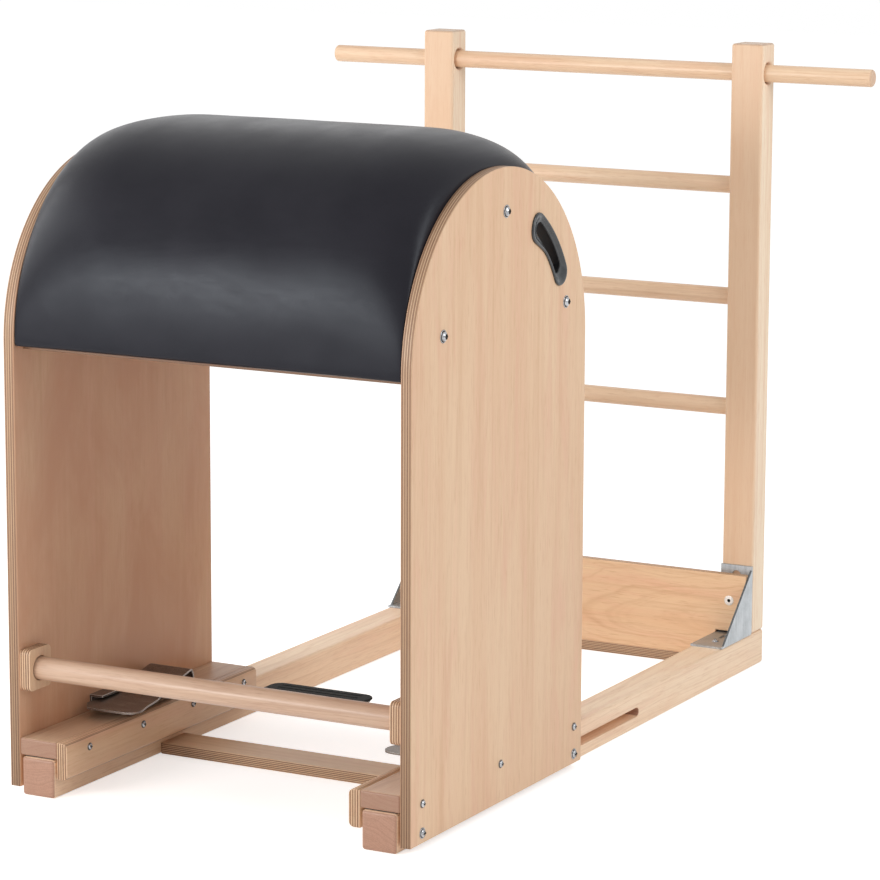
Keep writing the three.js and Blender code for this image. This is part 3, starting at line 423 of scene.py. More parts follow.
maple_along_x = solid_wood("maple_along_x", "x", DOWEL, coat=0.35, ends=0.3)
foot_bar_wood = solid_wood("foot_bar_maple", "x", FOOT_BAR, coat=0.3)
maple_along_y = solid_wood("maple_along_y", "y", MAPLE, pith=(0.01, 1.6), tilt=0.012, ring=0.003)
maple_along_z = solid_wood("maple_along_z", "z", UPRIGHT, ends=0.45, front=0.68)
# The runners' wood carries painted shade.
runner_wood_painted_shade = solid_wood("runner_maple", "y", RUNNER_PAINTED_SHADE, pith=(0.01, 1.6), tilt=0.012, ring=0.003)
whitewood = solid_wood("whitewood", "x", DEAL, pith=(0.03, 0.02), tilt=0.01, ring=0.006)
# The back tone is partly the back veneer's own colour and partly painted shade on the panels' inner faces.
panel_ply = plywood("panel_ply", "right_side_panel", "x", "z", PANEL, back=tone(206, 156, 124), rim=0.36)
strip_ply = plywood("strip_ply", "right_guide_strip", "x", "y", PANEL, calm=0.6)
block_ply = plywood("block_ply", "right_foot_bar_block", "x", "z", PANEL)
crossbar_ply = plywood("crossbar_ply", "front_crossbar", "z", "x", PANEL, count=13)
former_ply = plywood("former_ply", "right_former", "x", "y", PANEL)
# The sills' ply carries painted shade.
sill_ply = plywood("sill_ply", "front_sill", "y", "x", SILL_PAINTED_SHADE)
sill_rear_ply = plywood("sill_rear_ply", "rear_sill", "y", "x", SILL_PAINTED_SHADE)


def cross_board_wood():
    """Ply on edge, with arches of growth rings in its face veneer."""
    nodes = Nodes("cross_board_ply")
    x, y, z = nodes.parts(nodes.point)
    level = ply_level(nodes, "rear_cross_board", "y", plies)
    cut, crossed, glue, _ = ply_edge_colour(nodes, level, plies, BOARD)
    slow = nodes.noise(nodes.join(nodes.times(x, 4.0), nodes.times(z, 13.0), y), 3.0)
    lean = nodes.times(nodes.minus(x, 0.42), 0.16)
    rise = nodes.plus(nodes.minus(z, 0.085), nodes.times(nodes.minus(slow, 0.5), 0.09))
    squares = nodes.plus(nodes.times(rise, rise), nodes.times(lean, lean))
    rings = nodes.line_noise(nodes.math("DIVIDE", nodes.math("SQRT", squares), 0.0085), 2.0)
    colour, pores = face_grain(nodes, grain_axes(nodes, "x"), BOARD, rings, 0.34)
    colour = nodes.mix(crossed, colour, cut)
    colour = nodes.mix(nodes.times(glue, 0.85), colour, tone(110, 78, 56))
    height = nodes.plus(pores, nodes.times(rings, 0.5))
    return nodes.finish(colour, nodes.span(pores, 0.3, 0.8, 0.42, 0.55), nodes.bump(height, 0.0001, 0.5),
                        coat_weight=0.1, coat_roughness=0.3, specular_ior_level=0.35)


def bent_skin_wood():
    """Thin bent ply of the shell, which shows from below."""
    nodes = Nodes("skin_ply")
    _, y, z = nodes.parts(nodes.point)
    radial = nodes.join(0.0, nodes.minus(y, arch_y), nodes.minus(z, arch_z))
    out = nodes.add("ShaderNodeVectorMath", {0: radial}, operation="LENGTH").outputs["Value"]
    level = nodes.math("DIVIDE", nodes.minus(out, skin_radius - skin_thick), skin_thick / skin_plies)
    crossed = nodes.math("MODULO", nodes.math("FLOOR", nodes.math("ABSOLUTE", level)), 2.0)
    streak = nodes.grit((2.0, 60.0, 60.0), 3.0)
    fibre = nodes.grit((24.0, 640.0, 640.0), 3.0, 0.6)
    colour = nodes.mix(nodes.span(streak, 0.35, 0.68), PANEL[0], PANEL[1])
    colour = nodes.layer(colour, PANEL[3], fibre, 0.5, 0.8, 0.45)
    colour = nodes.mix(nodes.times(crossed, 0.7), colour, PANEL[4])
    return nodes.finish(colour, nodes.span(fibre, 0.3, 0.8, 0.6, 0.72), nodes.bump(fibre, 0.00012, 0.5))


def pad_vinyl():
    """Fine-grained black vinyl with a satin face, and painted shade in the creases of its grain."""
    nodes = Nodes("pad_vinyl")
    folds_and_crease_shade = nodes.cells(1050.0, "DISTANCE_TO_EDGE")
    pebble = nodes.grit(1900.0)
    broad = nodes.grit(9.0, 3.0)
    pull = nodes.grit((26.0, 3.0, 90.0), 3.0)
    colour = nodes.mix(nodes.span(broad, 0.35, 0.7), tone(30, 28, 34), tone(35, 33, 39))
    # Painted shade: the grain's creases are darkened.
    colour = nodes.mix(nodes.span(folds_and_crease_shade, 0.0, 0.12, 0.4, 0.0), colour, tone(17, 17, 21))
    height = nodes.plus(nodes.span(folds_and_crease_shade, 0.0, 0.22), nodes.times(pebble, 0.35))
    rough = nodes.plus(nodes.span(pull, 0.3, 0.7, 0.27, 0.32), nodes.times(pebble, 0.02))
    nodes.shader.inputs["Specular Tint"].default_value = (0.86, 0.93, 1.0, 1.0)
    return nodes.finish(colour, rough, nodes.bump(height, 0.00005, 0.45), specular_ior_level=0.16)


def zinc_steel():
    """Bright zinc plating with faint rolling lines and a fine spangle."""
    nodes = Nodes("zinc_steel")
    rolled = nodes.grit((420.0, 420.0, 16.0), 3.0, 0.6)
    spangle = nodes.cells(330.0)
    bloom = nodes.grit(38.0, 3.0)
    colour = nodes.mix(nodes.span(bloom, 0.35, 0.7), tone(182, 186, 189), tone(171, 175, 178))
    colour = nodes.layer(colour, tone(138, 142, 145), rolled, 0.42, 0.7, 0.6)
    colour = nodes.layer(colour, tone(196, 201, 206), spangle, 0.2, 0.8, 0.2)
    rough = nodes.plus(nodes.span(bloom, 0.3, 0.7, 0.34, 0.42), nodes.times(rolled, 0.06))
    return nodes.finish(colour, rough, nodes.bump(rolled, 0.00005, 0.5), metallic=1.0)


def pedal_steel():
    """Warm grey coated steel with patches rubbed bright."""
    nodes = Nodes("pedal_steel")
    speck = nodes.grit(420.0, 3.0)
    rub = nodes.grit((28.0, 60.0, 60.0), 4.0, 0.6)
    colour = nodes.mix(nodes.span(speck, 0.35, 0.7), tone(132, 121, 113), tone(104, 95, 90))
    colour = nodes.layer(colour, tone(172, 164, 156), rub, 0.55, 0.74, 0.6)
    rough = nodes.plus(nodes.span(rub, 0.3, 0.7, 0.38, 0.26), nodes.times(speck, 0.06))
    return nodes.finish(colour, rough, nodes.bump(speck, 0.00006, 0.5), metallic=0.85)


def chrome():
    """Polished plating with a breath of smudging."""
    nodes = Nodes("chrome")
    smudge = nodes.grit(130.0, 3.0)
    colour = nodes.mix(nodes.span(smudge, 0.4, 0.7), tone(182, 184, 187), tone(140, 142, 146))
    return nodes.finish(colour, nodes.span(smudge, 0.3, 0.75, 0.08, 0.16), metallic=1.0)


def liner_plastic():
    """Moulded grey plastic with a soft gloss and fine spark texture."""
    nodes = Nodes("liner_plastic")
    spark = nodes.grit(1500.0)
    haze = nodes.grit(90.0)
    colour = nodes.mix(nodes.span(haze, 0.35, 0.7), tone(46, 49, 52), tone(35, 38, 41))
    rough = nodes.plus(nodes.span(haze, 0.3, 0.7, 0.12, 0.18), nodes.times(spark, 0.04))
    return nodes.finish(colour, rough, nodes.bump(spark, 0.00003, 0.5), specular_ior_level=0.6)


def rubber():
    """Matt black rubber."""
    nodes = Nodes("tread_rubber")
    crumb = nodes.grit(800.0, 3.0, 0.6)
    dust = nodes.grit(30.0, 3.0)
    colour = nodes.mix(nodes.span(dust, 0.4, 0.75, 0.0, 0.5), tone(19, 22, 21), tone(34, 36, 35))
    return nodes.finish(colour, nodes.span(crumb, 0.3, 0.7, 0.66, 0.82), nodes.bump(crumb, 0.00012, 0.6),
                        specular_ior_level=0.35)


def fine_finish(name, scale, detail, start, pair, rough, bump=None, **constants):
    """A finish with one fine noise, which sways its tone and its roughness and can roughen its face."""
    nodes = Nodes(name)
    pattern = nodes.grit(scale, detail)
    colour = nodes.mix(nodes.span(pattern, start, 0.7), *palette(*pair))
    normal = nodes.bump(pattern, *bump) if bump else None
    return nodes.finish(colour, nodes.span(pattern, 0.3, 0.7, *rough), normal, **constants)


BOARD_PLY = cross_board_wood()
SKIN_PLY = bent_skin_wood()
VINYL = pad_vinyl()
ZINC = zinc_steel()
PEDAL = pedal_steel()
CHROME = chrome()
LINER = liner_plastic()
RUBBER = rubber()

# Sheared edges of plated and coated plate (the coated plate's bright ones partly a painted highlight), a
# handhold's sleeve painted dark as painted shade, flat satin heads, waxy black glides and the painted shade
# in a screw's recess
sheared = (500.0, 500.0, 90.0)
ZINC_EDGE = fine_finish("zinc_edge", sheared, 2.0, 0.4, ((112, 114, 115), (84, 86, 87)),
                        (0.4, 0.55), (0.00004, 0.5), metallic=0.8)
# Cut edges are brightened to near white: bare steel, and partly a painted highlight along the eased edges.
CUT_AND_HIGHLIGHT = fine_finish("cut_steel", sheared, 2.0, 0.4, ((238, 236, 231), (208, 205, 200)),
                  (0.3, 0.44), (0.00004, 0.5), metallic=0.35)
# The sleeve's near black is painted shade inside the handhold's hole.
BORE_PAINTED_SHADE = fine_finish("liner_bore", 1200.0, 2.0, 0.35, ((20, 20, 22), (30, 30, 32)),
                   (0.45, 0.6), (0.00004, 0.5))
NICKEL = fine_finish("satin_nickel", 260.0, 3.0, 0.35, ((236, 229, 221), (216, 208, 199)),
                     (0.38, 0.5), metallic=0.6)
NYLON = fine_finish("glide_nylon", 220.0, 2.0, 0.35, ((32, 32, 34), (44, 44, 46)),
                    (0.38, 0.5), (0.00005, 0.4))
# Painted shade in the screws' recesses and in the groove round each head.
RECESS_PAINTED_SHADE = fine_finish("recess_dark", 900.0, 2.0, 0.35, ((28, 27, 26), (46, 44, 42)),
                     (0.4, 0.6), (0.00004, 0.4))


def thing_of(bm, name, materials=()):
    """Turns a bmesh into a named object in the scene."""
    bmesh.ops.recalc_face_normals(bm, faces=bm.faces[:])
    mesh = bpy.data.meshes.new(name)
    bm.to_mesh(mesh)
    bm.free()
    for material in materials:
        mesh.materials.append(material)
    thing = bpy.data.objects.new(name, mesh)
    bpy.context.scene.collection.objects.link(thing)
    return thing


def piece_of(bm, name, body, materials, replaced=()):
    """Turns a bmesh into a piece that rides on a body, has the given materials and can replace solids."""
    piece = thing_of(bm, name, materials)
    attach(piece, body)
    if replaced:
        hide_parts(*replaced)
    return piece


def carve(bm, cutters):
    """Cuts closed meshes out of a bmesh and gives the result as a new bmesh."""
    things = [thing_of(source, "carving") for source in (bm, *cutters)]
    for cutter in things[1:]:
        modifier = things[0].modifiers.new("carving", "BOOLEAN")
        modifier.operation = "DIFFERENCE"
        modifier.solver = "EXACT"
        modifier.object = cutter
    graph = bpy.context.evaluated_depsgraph_get()
    mesh = bpy.data.meshes.new_from_object(things[0].evaluated_get(graph))
    carved = bmesh.new()
    carved.from_mesh(mesh)
    bpy.data.meshes.remove(mesh)
    for thing in things:
        data = thing.data
        bpy.data.objects.remove(thing)
        bpy.data.meshes.remove(data)
    return carved


def quarter(steps):
    """Turns from zero to a quarter of a circle."""
    return [i / steps * QUARTER for i in range(steps + 1)]


def around(steps):
    """Turns all round a circle."""
    return [2 * math.pi * j / steps for j in range(steps)]


def band(bm, lower, upper, smooth=True, finish=0):
    """Faces all round between two rings of vertices."""
    for j in range(len(lower)):
        face = bm.faces.new((lower[j - 1], lower[j], upper[j], upper[j - 1]))
        face.smooth = smooth
        face.material_index = finish


def placed(axis, u, v, w):
    """A point from its two places in a flat drawing and its place along the drawing's own axis."""
    return {"x": (w, u, v), "y": (u, w, v), "z": (u, v, w)}[axis]


def arc(centre, radius, start, end, steps):
    """Points along an arc, both ends included."""
    turns = [start + (end - start) * i / steps for i in range(steps + 1)]
    return [Vector((centre[0] + radius * math.cos(t), centre[1] + radius * math.sin(t))) for t in turns]


def rounded_rectangle(low, high, radius, steps=6):
    """A closed drawing of a rectangle with round corners."""
    centres = ((high[0] - radius, high[1] - radius), (low[0] + radius, high[1] - radius),
               (low[0] + radius, low[1] + radius), (high[0] - radius, low[1] + radius))
    loop = []
    for i, centre in enumerate(centres):
        loop += arc(centre, radius, i * QUARTER, (i + 1) * QUARTER, steps)
    return loop


def moved_in(loop, distance):
    """Moves every side of a closed drawing to its left by a distance."""
    result = []
    for i, point in enumerate(loop):
        into = (point - loop[i - 1]).normalized()
        away = (loop[(i + 1) % len(loop)] - point).normalized()
        normal = Vector((-into.y - away.y, into.x + away.x)).normalized()
        spread = normal.x * -into.y + normal.y * into.x
        result.append(point + normal * (distance / spread))
    return result


def cleaned(loop):
    """The drawing without points that lie on the one before them."""
    return [p for i, p in enumerate(loop) if (p - loop[i - 1]).length > 1e-6]


def plate(axis, loops, low, high, edge=ply_edge):
    """A flat piece with eased edges, from its outline and any holes, which turn the other way."""
    bm = bmesh.new()
    loops = [cleaned(loop) for loop in loops]
    rims = [(edge * (1 - math.sin(t)), low + edge * (1 - math.cos(t))) for t in quarter(3)]
    rims += [(inset, low + high - level) for inset, level in reversed(rims)]
    ends = ([], [])
    for loop in loops:
        rings = []
        for inset, level in rims:
            points = moved_in(loop, inset) if inset else loop
            rings.append([bm.verts.new(placed(axis, p.x, p.y, level)) for p in points])
        for lower, upper in zip(rings, rings[1:]):
            band(bm, lower, upper)
        ends[0].extend(rings[0])
        ends[1].extend(rings[-1])
    flat = [[Vector((p.x, p.y, 0)) for p in moved_in(loop, edge)] for loop in loops]
    for corners in tessellate_polygon(flat):
        for end in ends:
            bm.faces.new([end[c] for c in corners])
    return bm


def loft(rings, smooth=True):
    """A closed solid through rings of points, with a flat face on its first and last ring."""
    bm = bmesh.new()
    made = [[bm.verts.new(point) for point in ring] for ring in rings]
    for lower, upper in zip(made, made[1:]):
        band(bm, lower, upper, smooth)
    bm.faces.new(made[0])
    bm.faces.new(made[-1])
    return bm


def rounded_box(low, high, radius, segments=4):
    """A box whose edges are all eased."""
    bm = bmesh.new()
    middle = (Vector(low) + Vector(high)) / 2
    size = Vector(high) - Vector(low)
    bmesh.ops.create_cube(bm, size=1, matrix=Matrix.Translation(middle) @ Matrix.Diagonal((*size, 1)))
    made = bmesh.ops.bevel(bm, geom=bm.edges[:], offset=radius, segments=segments, profile=0.5,
                           affect="EDGES")
    for face in made["faces"]:
        face.smooth = True
    return bm


def revolved(profile, y, z):
    """A solid of revolution about a line along X, from its (place, radius) profile."""
    return loft([[(place, y + radius * math.cos(t), z + radius * math.sin(t)) for t in around(64)]
                 for place, radius in profile])


def dowel(low_x, high_x, y, z, radius, edge):
    """A round bar with eased ends."""
    low = [(low_x + edge * (1 - math.cos(t)), radius - edge * (1 - math.sin(t))) for t in quarter(5)]
    high = [(low_x + high_x - place, r) for place, r in reversed(low)]
    return revolved([*low, *high], y, z)


def side_panels():
    """Panels with straight sides, a half round top and the handhold's slot."""
    steps = 96
    outline = [Vector((panel_low.y, panel_low.z)), Vector((panel_high.y, panel_low.z))]
    outline += arc((arch_y, arch_z), arch_radius, 0, math.pi, steps)
    slot = list(reversed(handhold_outline(handhold_body_half + clearance, handhold_body_angle)))
    for word, side in SIDES:
        bm = plate("x", [outline, slot], *sorted((side * panel_inner, side * panel_outer)))
        piece_of(bm, f"{word}_panel", "barrel", [panel_ply], [f"{word}_side_panel"])


def handhold_outline(half, angle, swell=0.0):
    """A slot that follows the arch, drawn in Y and Z; a swell widens the inner side of its upper end."""
    caps = 14
    run = 24
    loop = []

    def inward(along):
        share = min(max(along / angle, 0.0), 1.0)
        return half + swell * share * share * (3 - 2 * share)

    def add(along, radial, across):
        turn = handhold_middle + along
        radius = handhold_radius + radial
        loop.append(Vector((arch_y + radius * math.cos(turn) - across * math.sin(turn),
                            arch_z + radius * math.sin(turn) + across * math.cos(turn))))

    for end in (1, -1):
        for i in range(caps + 1):
            turn = math.pi * (i / caps + (0 if end > 0 else 1))
            reach = inward(end * angle) if math.cos(turn) < 0 else half
            add(end * angle, reach * math.cos(turn), half * math.sin(turn))
        for i in range(1, run):
            along = end * angle * (1 - 2 * i / run)
            add(along, -inward(along) if end > 0 else half, 0.0)
    return loop


def handhold_section():
    """The liner's rings, from the panel's face over the flange and down into the sleeve.

    Each has its half width, angle, place across the panel and swell. The number of the first ring of
    the sleeve comes after them."""
    back = panel_inner - handhold_reach
    rim_height = 0.0012
    rim_roll = 0.0022
    dish = 0.0052
    dishes = 9
    section = [(handhold_flange_half, handhold_flange_angle, panel_outer + clearance, handhold_swell)]
    for turn in quarter(6):
        half = handhold_flange_half - rim_roll * (1 - math.cos(turn))
        level = panel_outer + rim_height + (handhold_rise - rim_height) * math.sin(turn)
        section.append((half, handhold_flange_angle, level, handhold_swell))
    crest = section[-1]
    foot = (handhold_grip_half + rim_height, handhold_grip_angle, crest[2] - dish, 0.0)
    for i in range(1, dishes + 1):
        dip = dish * (0.5 - 0.5 * math.cos(math.pi * i / dishes))
        half, angle, _, swell = (a + (b - a) * i / dishes for a, b in zip(crest, foot))
        section.append((half, angle, crest[2] - dip, swell))
    sleeve = len(section)
    section += [(handhold_grip_half, handhold_grip_angle, crest[2] - dish - rim_height, 0.0),
                (handhold_grip_half, handhold_grip_angle, back, 0.0),
                (handhold_body_half, handhold_body_angle, back, 0.0),
                (handhold_body_half, handhold_body_angle, panel_outer + clearance, 0.0)]
    return section, sleeve


def handhold_liners():
    """Moulded liners: a dished flange outside the panel and a sleeve through it, painted near black for the
    shade inside the hole.
    """
    section, sleeve = handhold_section()
    for word, side in SIDES:
        bm = bmesh.new()
        rings = []
        for half, angle, x, swell in section:
            loop = handhold_outline(half, angle, swell)
            rings.append([bm.verts.new((side * x, p.x, p.y)) for p in loop])
        for i, lower in enumerate(rings):
            band(bm, lower, rings[(i + 1) % len(rings)], i < sleeve, 1 if i >= sleeve - 1 else 0)
        piece_of(bm, f"{word}_liner", "barrel", [LINER, BORE_PAINTED_SHADE], [f"{word}_handhold_liner"])


def slot_cutter(side, middle_y, middle_z, length):
    """Cutter for a groove with round ends and a small chamfer at its mouth."""
    half = groove_height / 2
    face = side * rail_high.x
    low = (middle_y - length / 2, middle_z - half)
    high = (middle_y + length / 2, middle_z + half)
    outline = cleaned(rounded_rectangle(low, high, half, 12))
    wide = moved_in(outline, -groove_chamfer)
    rings = [(face + side * groove_depth, wide), (face, wide),
             (face - side * groove_chamfer, outline), (face - side * groove_depth, outline)]
    return loft([[(x, p.x, p.y) for p in loop] for x, loop in rings], smooth=False)


def base_rails():
    """Rails with two grooves in the outer face, where the guide bolts run."""
    for word, side in SIDES:
        low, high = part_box(f"{word}_base_rail")
        cutters = []
        for place in ("front", "rear"):
            bolt = middle_of(f"{word}_{place}_guide_bolt")
            middle = bolt.y + groove_travel / 2
            cutters.append(slot_cutter(side, middle, bolt.z, groove_travel + groove_height))
        bm = carve(rounded_box(low, high, rail_round), cutters)
        piece_of(bm, f"{word}_rail", "base", [maple_along_y], [f"{word}_base_rail"])


def uprights():
    """Uprights with a chamfered through hole for the top bar and blind holes for the rungs."""
    bar_low, bar_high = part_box("top_bar")
    bar = middle_of("top_bar")
    rung_radius = (bar_high.z - bar_low.z) / 2 + clearance
    radius = rung_radius + bar_gap
    for word, side in SIDES:
        low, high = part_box(f"{word}_upright")
        mouth = radius + bar_chamfer + overrun
        profile = [(low.x - overrun, mouth), (low.x + bar_chamfer, radius),
                   (high.x - bar_chamfer, radius), (high.x + overrun, mouth)]
        cutters = [revolved(profile, bar.y, bar.z)]
        inner = min(abs(low.x), abs(high.x))
        ends = sorted((side * (inner - overrun), side * (inner + rung_mortise + clearance)))
        for i in (1, 2, 3):
            cutters.append(revolved([(end, rung_radius) for end in ends], bar.y, middle_of(f"rung_{i}").z))
        bm = carve(rounded_box(low, high, rail_round), cutters)
        piece_of(bm, f"{word}_post", "base", [maple_along_z], [f"{word}_upright"])


def bars():
    """Top bar, rungs and foot bar: turned maple dowels."""
    rows = [("top_bar", "base", dowel_end), ("foot_bar", "barrel", ply_edge)]
    rows += [(f"rung_{i}", "base", ply_edge) for i in (1, 2, 3)]
    for node, body, edge in rows:
        low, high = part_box(node)
        middle = (low + high) / 2
        bm = dowel(low.x, high.x, middle.y, middle.z, (high.z - low.z) / 2, edge)
        wood = foot_bar_wood if node == "foot_bar" else maple_along_x
        piece_of(bm, f"{node}_dowel", body, [wood], [node])


def crossbars():
    """Ply bars that lie flat between the rails."""
    for word in ("front", "rear"):
        bm = rounded_box(*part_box(f"{word}_crossbar"), ply_edge, 3)
        piece_of(bm, f"{word}_crossbar_ply", "base", [crossbar_ply], [f"{word}_crossbar"])


def cross_board():
    """Board on edge, let down between the rails and carried over them to the uprights."""
    neck = rail_low.x - clearance
    reach = board_high.x
    half = ((neck, board_low.z), (neck, board_shoulder), (reach, board_shoulder), (reach, board_high.z))
    points = [(-neck, board_low.z), *half, *((-x, z) for x, z in reversed(half[1:]))]
    bm = plate("y", [[Vector(p) for p in points]], board_low.y, board_high.y)
    piece_of(bm, "cross_board", "base", [BOARD_PLY], ["rear_cross_board"])


def runner_blocks():
    """Runners over the rails, each with a window for the brake."""
    front = shaft_y + window_front
    for word, _ in SIDES:
        low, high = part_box(f"{word}_runner_block")
        middle = middle_of(f"{word}_base_rail").x
        near = (middle - window_width / 2, front)
        far = (middle + window_width / 2, front + window_length)
        outline = cleaned(rounded_rectangle(near, far, window_round))
        rings = [[(p.x, p.y, z) for p in outline] for z in (low.z - overrun, high.z + overrun)]
        bm = carve(rounded_box(low, high, runner_round, 3), [loft(rings, smooth=False)])
        piece_of(bm, f"{word}_runner", "barrel", [runner_wood_painted_shade], [f"{word}_runner_block"])


def guide_strips():
    """Ply strips that hang inside the rails, rounded on their open side."""
    for word, side in SIDES:
        low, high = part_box(f"{word}_guide_strip")
        inner, outer = sorted((abs(low.x), abs(high.x)))
        loop = [Vector((outer, low.z)), Vector((outer, high.z))]
        loop += arc((inner + strip_round, high.z - strip_round), strip_round, QUARTER, 2 * QUARTER, 6)
        loop += arc((inner + strip_round, low.z + strip_round), strip_round, 2 * QUARTER, 3 * QUARTER, 6)
        if side < 0:
            loop = [Vector((-p.x, p.y)) for p in reversed(loop)]
        bm = plate("y", [loop], low.y, high.y)
        piece_of(bm, f"{word}_strip", "barrel", [strip_ply], [f"{word}_guide_strip"])


def foot_bar_blocks():
    """Ply blocks inside the panels, each bored for the foot bar."""
    bar_low, bar_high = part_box("foot_bar")
    radius = (bar_high.z - bar_low.z) / 2 + bar_gap
    hole = arc(middle_of("foot_bar").yz, radius, 2 * math.pi, 0, 64)
    for word, _ in SIDES:
        low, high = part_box(f"{word}_foot_bar_block")
        outline = rounded_rectangle((low.y, low.z), (high.y, high.z), block_round)
        bm = plate("x", [outline, hole], low.x, high.x, block_edge)
        piece_of(bm, f"{word}_bar_block", "barrel", [block_ply], [f"{word}_foot_bar_block"])


def refined(node, bevel):
    """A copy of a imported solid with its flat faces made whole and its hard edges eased."""
    weld = 0.000002
    flat = math.radians(1)
    sharp = math.radians(35)
    bm = bmesh.new()
    bm.from_mesh(frame["nodes"][node].data)
    bmesh.ops.remove_doubles(bm, verts=bm.verts[:], dist=weld)
    bmesh.ops.dissolve_limit(bm, angle_limit=flat, verts=bm.verts[:], edges=bm.edges[:])
    hard = [e for e in bm.edges if e.is_manifold and e.calc_face_angle(0) > sharp]
    made = bmesh.ops.bevel(bm, geom=hard, offset=bevel, segments=2, profile=0.5,
                           affect="EDGES", clamp_overlap=True)
    eased = set(made["faces"])
    for face in bm.faces:
        face.smooth = True
        face.material_index = 1 if face in eased else 0
    return bm


def even_faces(piece):
    """Lets the broad flat faces rule the shading of the narrow ones beside them."""
    piece.modifiers.new("even faces", "WEIGHTED_NORMAL").mode = "FACE_AREA"


def steel_plates():
    """Bent steel parts with bright cut edges, partly a painted highlight along the eased edges, and the
    gussets' duller ones.
    """
    rows = []
    for word, _ in SIDES:
        rows += [(f"{word}_corner_bracket", "base", "zinc_steel", [ZINC, ZINC_EDGE]),
                 (f"{word}_brake_arm", "pedal", "pedal_steel", [PEDAL, CUT_AND_HIGHLIGHT]),
                 (f"{word}_pivot_bracket", "barrel", "pedal_steel", [PEDAL, CUT_AND_HIGHLIGHT])]
    rows.append(("pedal_tread_plate", "pedal", "pedal_steel", [PEDAL, CUT_AND_HIGHLIGHT]))
    for node, body, slot, materials in rows:
        bm = refined(node, plate_edge)
        for face in bm.faces:
            if slot == "zinc_steel" and face.normal.y < -0.3 and face.normal.z > 0.2:
                face.material_index = 1
        even_faces(piece_of(bm, f"{node}_steel", body, materials, [node]))


def shaft_and_springs():
    """The pedal's shaft, and a return spring of one unbroken coil at each of its ends."""
    low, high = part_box("pedal_shaft")
    bm = dowel(low.x, high.x, shaft_y, shaft_z, (high.z - low.z) / 2, shaft_edge)
    piece_of(bm, "shaft_steel", "pedal", [ZINC], ["pedal_shaft"])
    start = spring_low_lean - QUARTER
    end = spring_high_lean + QUARTER + spring_coils * 2 * math.pi
    steps = 110
    for word, side in SIDES:
        low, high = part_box(f"{word}_return_spring")
        first = min(abs(low.x), abs(high.x)) + spring_wire / 2
        rings = []
        for i in range(-1, steps + 2):
            turn = start + (end - start) * min(max(i / steps, 0), 1)
            run = -spring_leg if i < 0 else spring_leg if i > steps else 0.0
            radial = Vector((0, math.cos(turn), math.sin(turn)))
            along = Vector((0, -math.sin(turn), math.cos(turn)))
            across = first + spring_pitch * (turn - start) / (2 * math.pi)
            middle = Vector((side * across, shaft_y, shaft_z)) + radial * spring_radius + along * run
            rings.append([middle + (radial * math.cos(t) + Vector((math.sin(t), 0, 0))) * spring_wire / 2
                          for t in around(14)])
        piece_of(loft(rings), f"{word}_spring", "barrel", [ZINC], [f"{word}_return_spring"])


def tread():
    """Rubber tread with grooves across it and eased ribs."""
    bm = refined("pedal_tread", tread_edge)
    even_faces(piece_of(bm, "tread_rubber", "pedal", [RUBBER, RUBBER], ["pedal_tread"]))


def hexagon(turn, across):
    """Radius of a hexagon with that half width across its flats."""
    sixth = math.pi / 3
    return across / math.cos((turn + sixth / 2) % sixth - sixth / 2)


def cross(turn, reach):
    """Radius of a cross recess with that reach."""
    c, s = abs(math.cos(turn)), abs(math.sin(turn))
    arm = 0.3 * reach
    flat = min(reach / max(c, 1e-6), arm / max(s, 1e-6))
    tall = min(reach / max(s, 1e-6), arm / max(c, 1e-6))
    return max(flat, tall)


BARREL_HEAD = dict(radius=0.0073, height=0.0044, recess=hexagon, size=0.0037, depth=0.0032, washer=0.0095)
GUIDE_HEAD = dict(radius=0.006, height=0.0034, recess=cross, size=0.004, depth=0.0026, washer=0.0082)
PANEL_HEAD = dict(radius=0.0052, height=0.003, recess=cross, size=0.003, depth=0.0022, washer=0.0064)
STRIP_HEAD = dict(radius=0.0046, height=0.0024, recess=cross, size=0.0028, depth=0.0018, washer=0.0058)
BOARD_HEAD = dict(radius=0.0085, height=0.0011, recess=hexagon, size=0.0026, depth=0.0012)
BRACKET_HEAD = dict(radius=0.0055, height=0.0026, recess=cross, size=0.0027, depth=0.0018)


def head_rings(radius, height, recess, size, depth, washer=0.0):
    """Rings of a domed head, from its washer's rim in to the floor of its recess.

    Each has the finish of the faces after it: 0 for plating and 1 for the painted shade of a gap or recess."""
    lip = 0.0004
    groove = 0.0009
    edge_share = 0.12
    dome_share = 0.98
    domes = 8
    turns = around(screw_sides)
    hole = [recess(t, size) for t in turns]
    rings = []

    def add(radii, level, finish=0):
        rings.append(([(r * math.cos(t), r * math.sin(t), level) for r, t in zip(radii, turns)], finish))

    base = washer_rise if washer else 0.0
    if washer:
        for r, level, finish in ((washer, 0.0, 0), (washer, base - lip, 0), (washer - lip, base, 0),
                                 (radius + groove, base, 1), (radius + groove, base - groove, 1),
                                 (radius, base - groove, 1)):
            add([r] * screw_sides, level, finish)
    else:
        add([radius] * screw_sides, 0.0)
    add([radius] * screw_sides, base + edge_share * height)
    for i in range(1, domes + 1):
        turn = i / domes * QUARTER * dome_share
        radii = [max(radius * math.cos(turn), h) for h in hole] if i < domes else hole
        level = base + height * (edge_share + (1 - edge_share) * math.sin(turn))
        add(radii, level, 1 if i == domes else 0)
    for share, drop_share in ((0.97, 0.25), (0.85, 1)):
        add([share * h for h in hole], base + height - drop_share * depth, 1)
    return rings


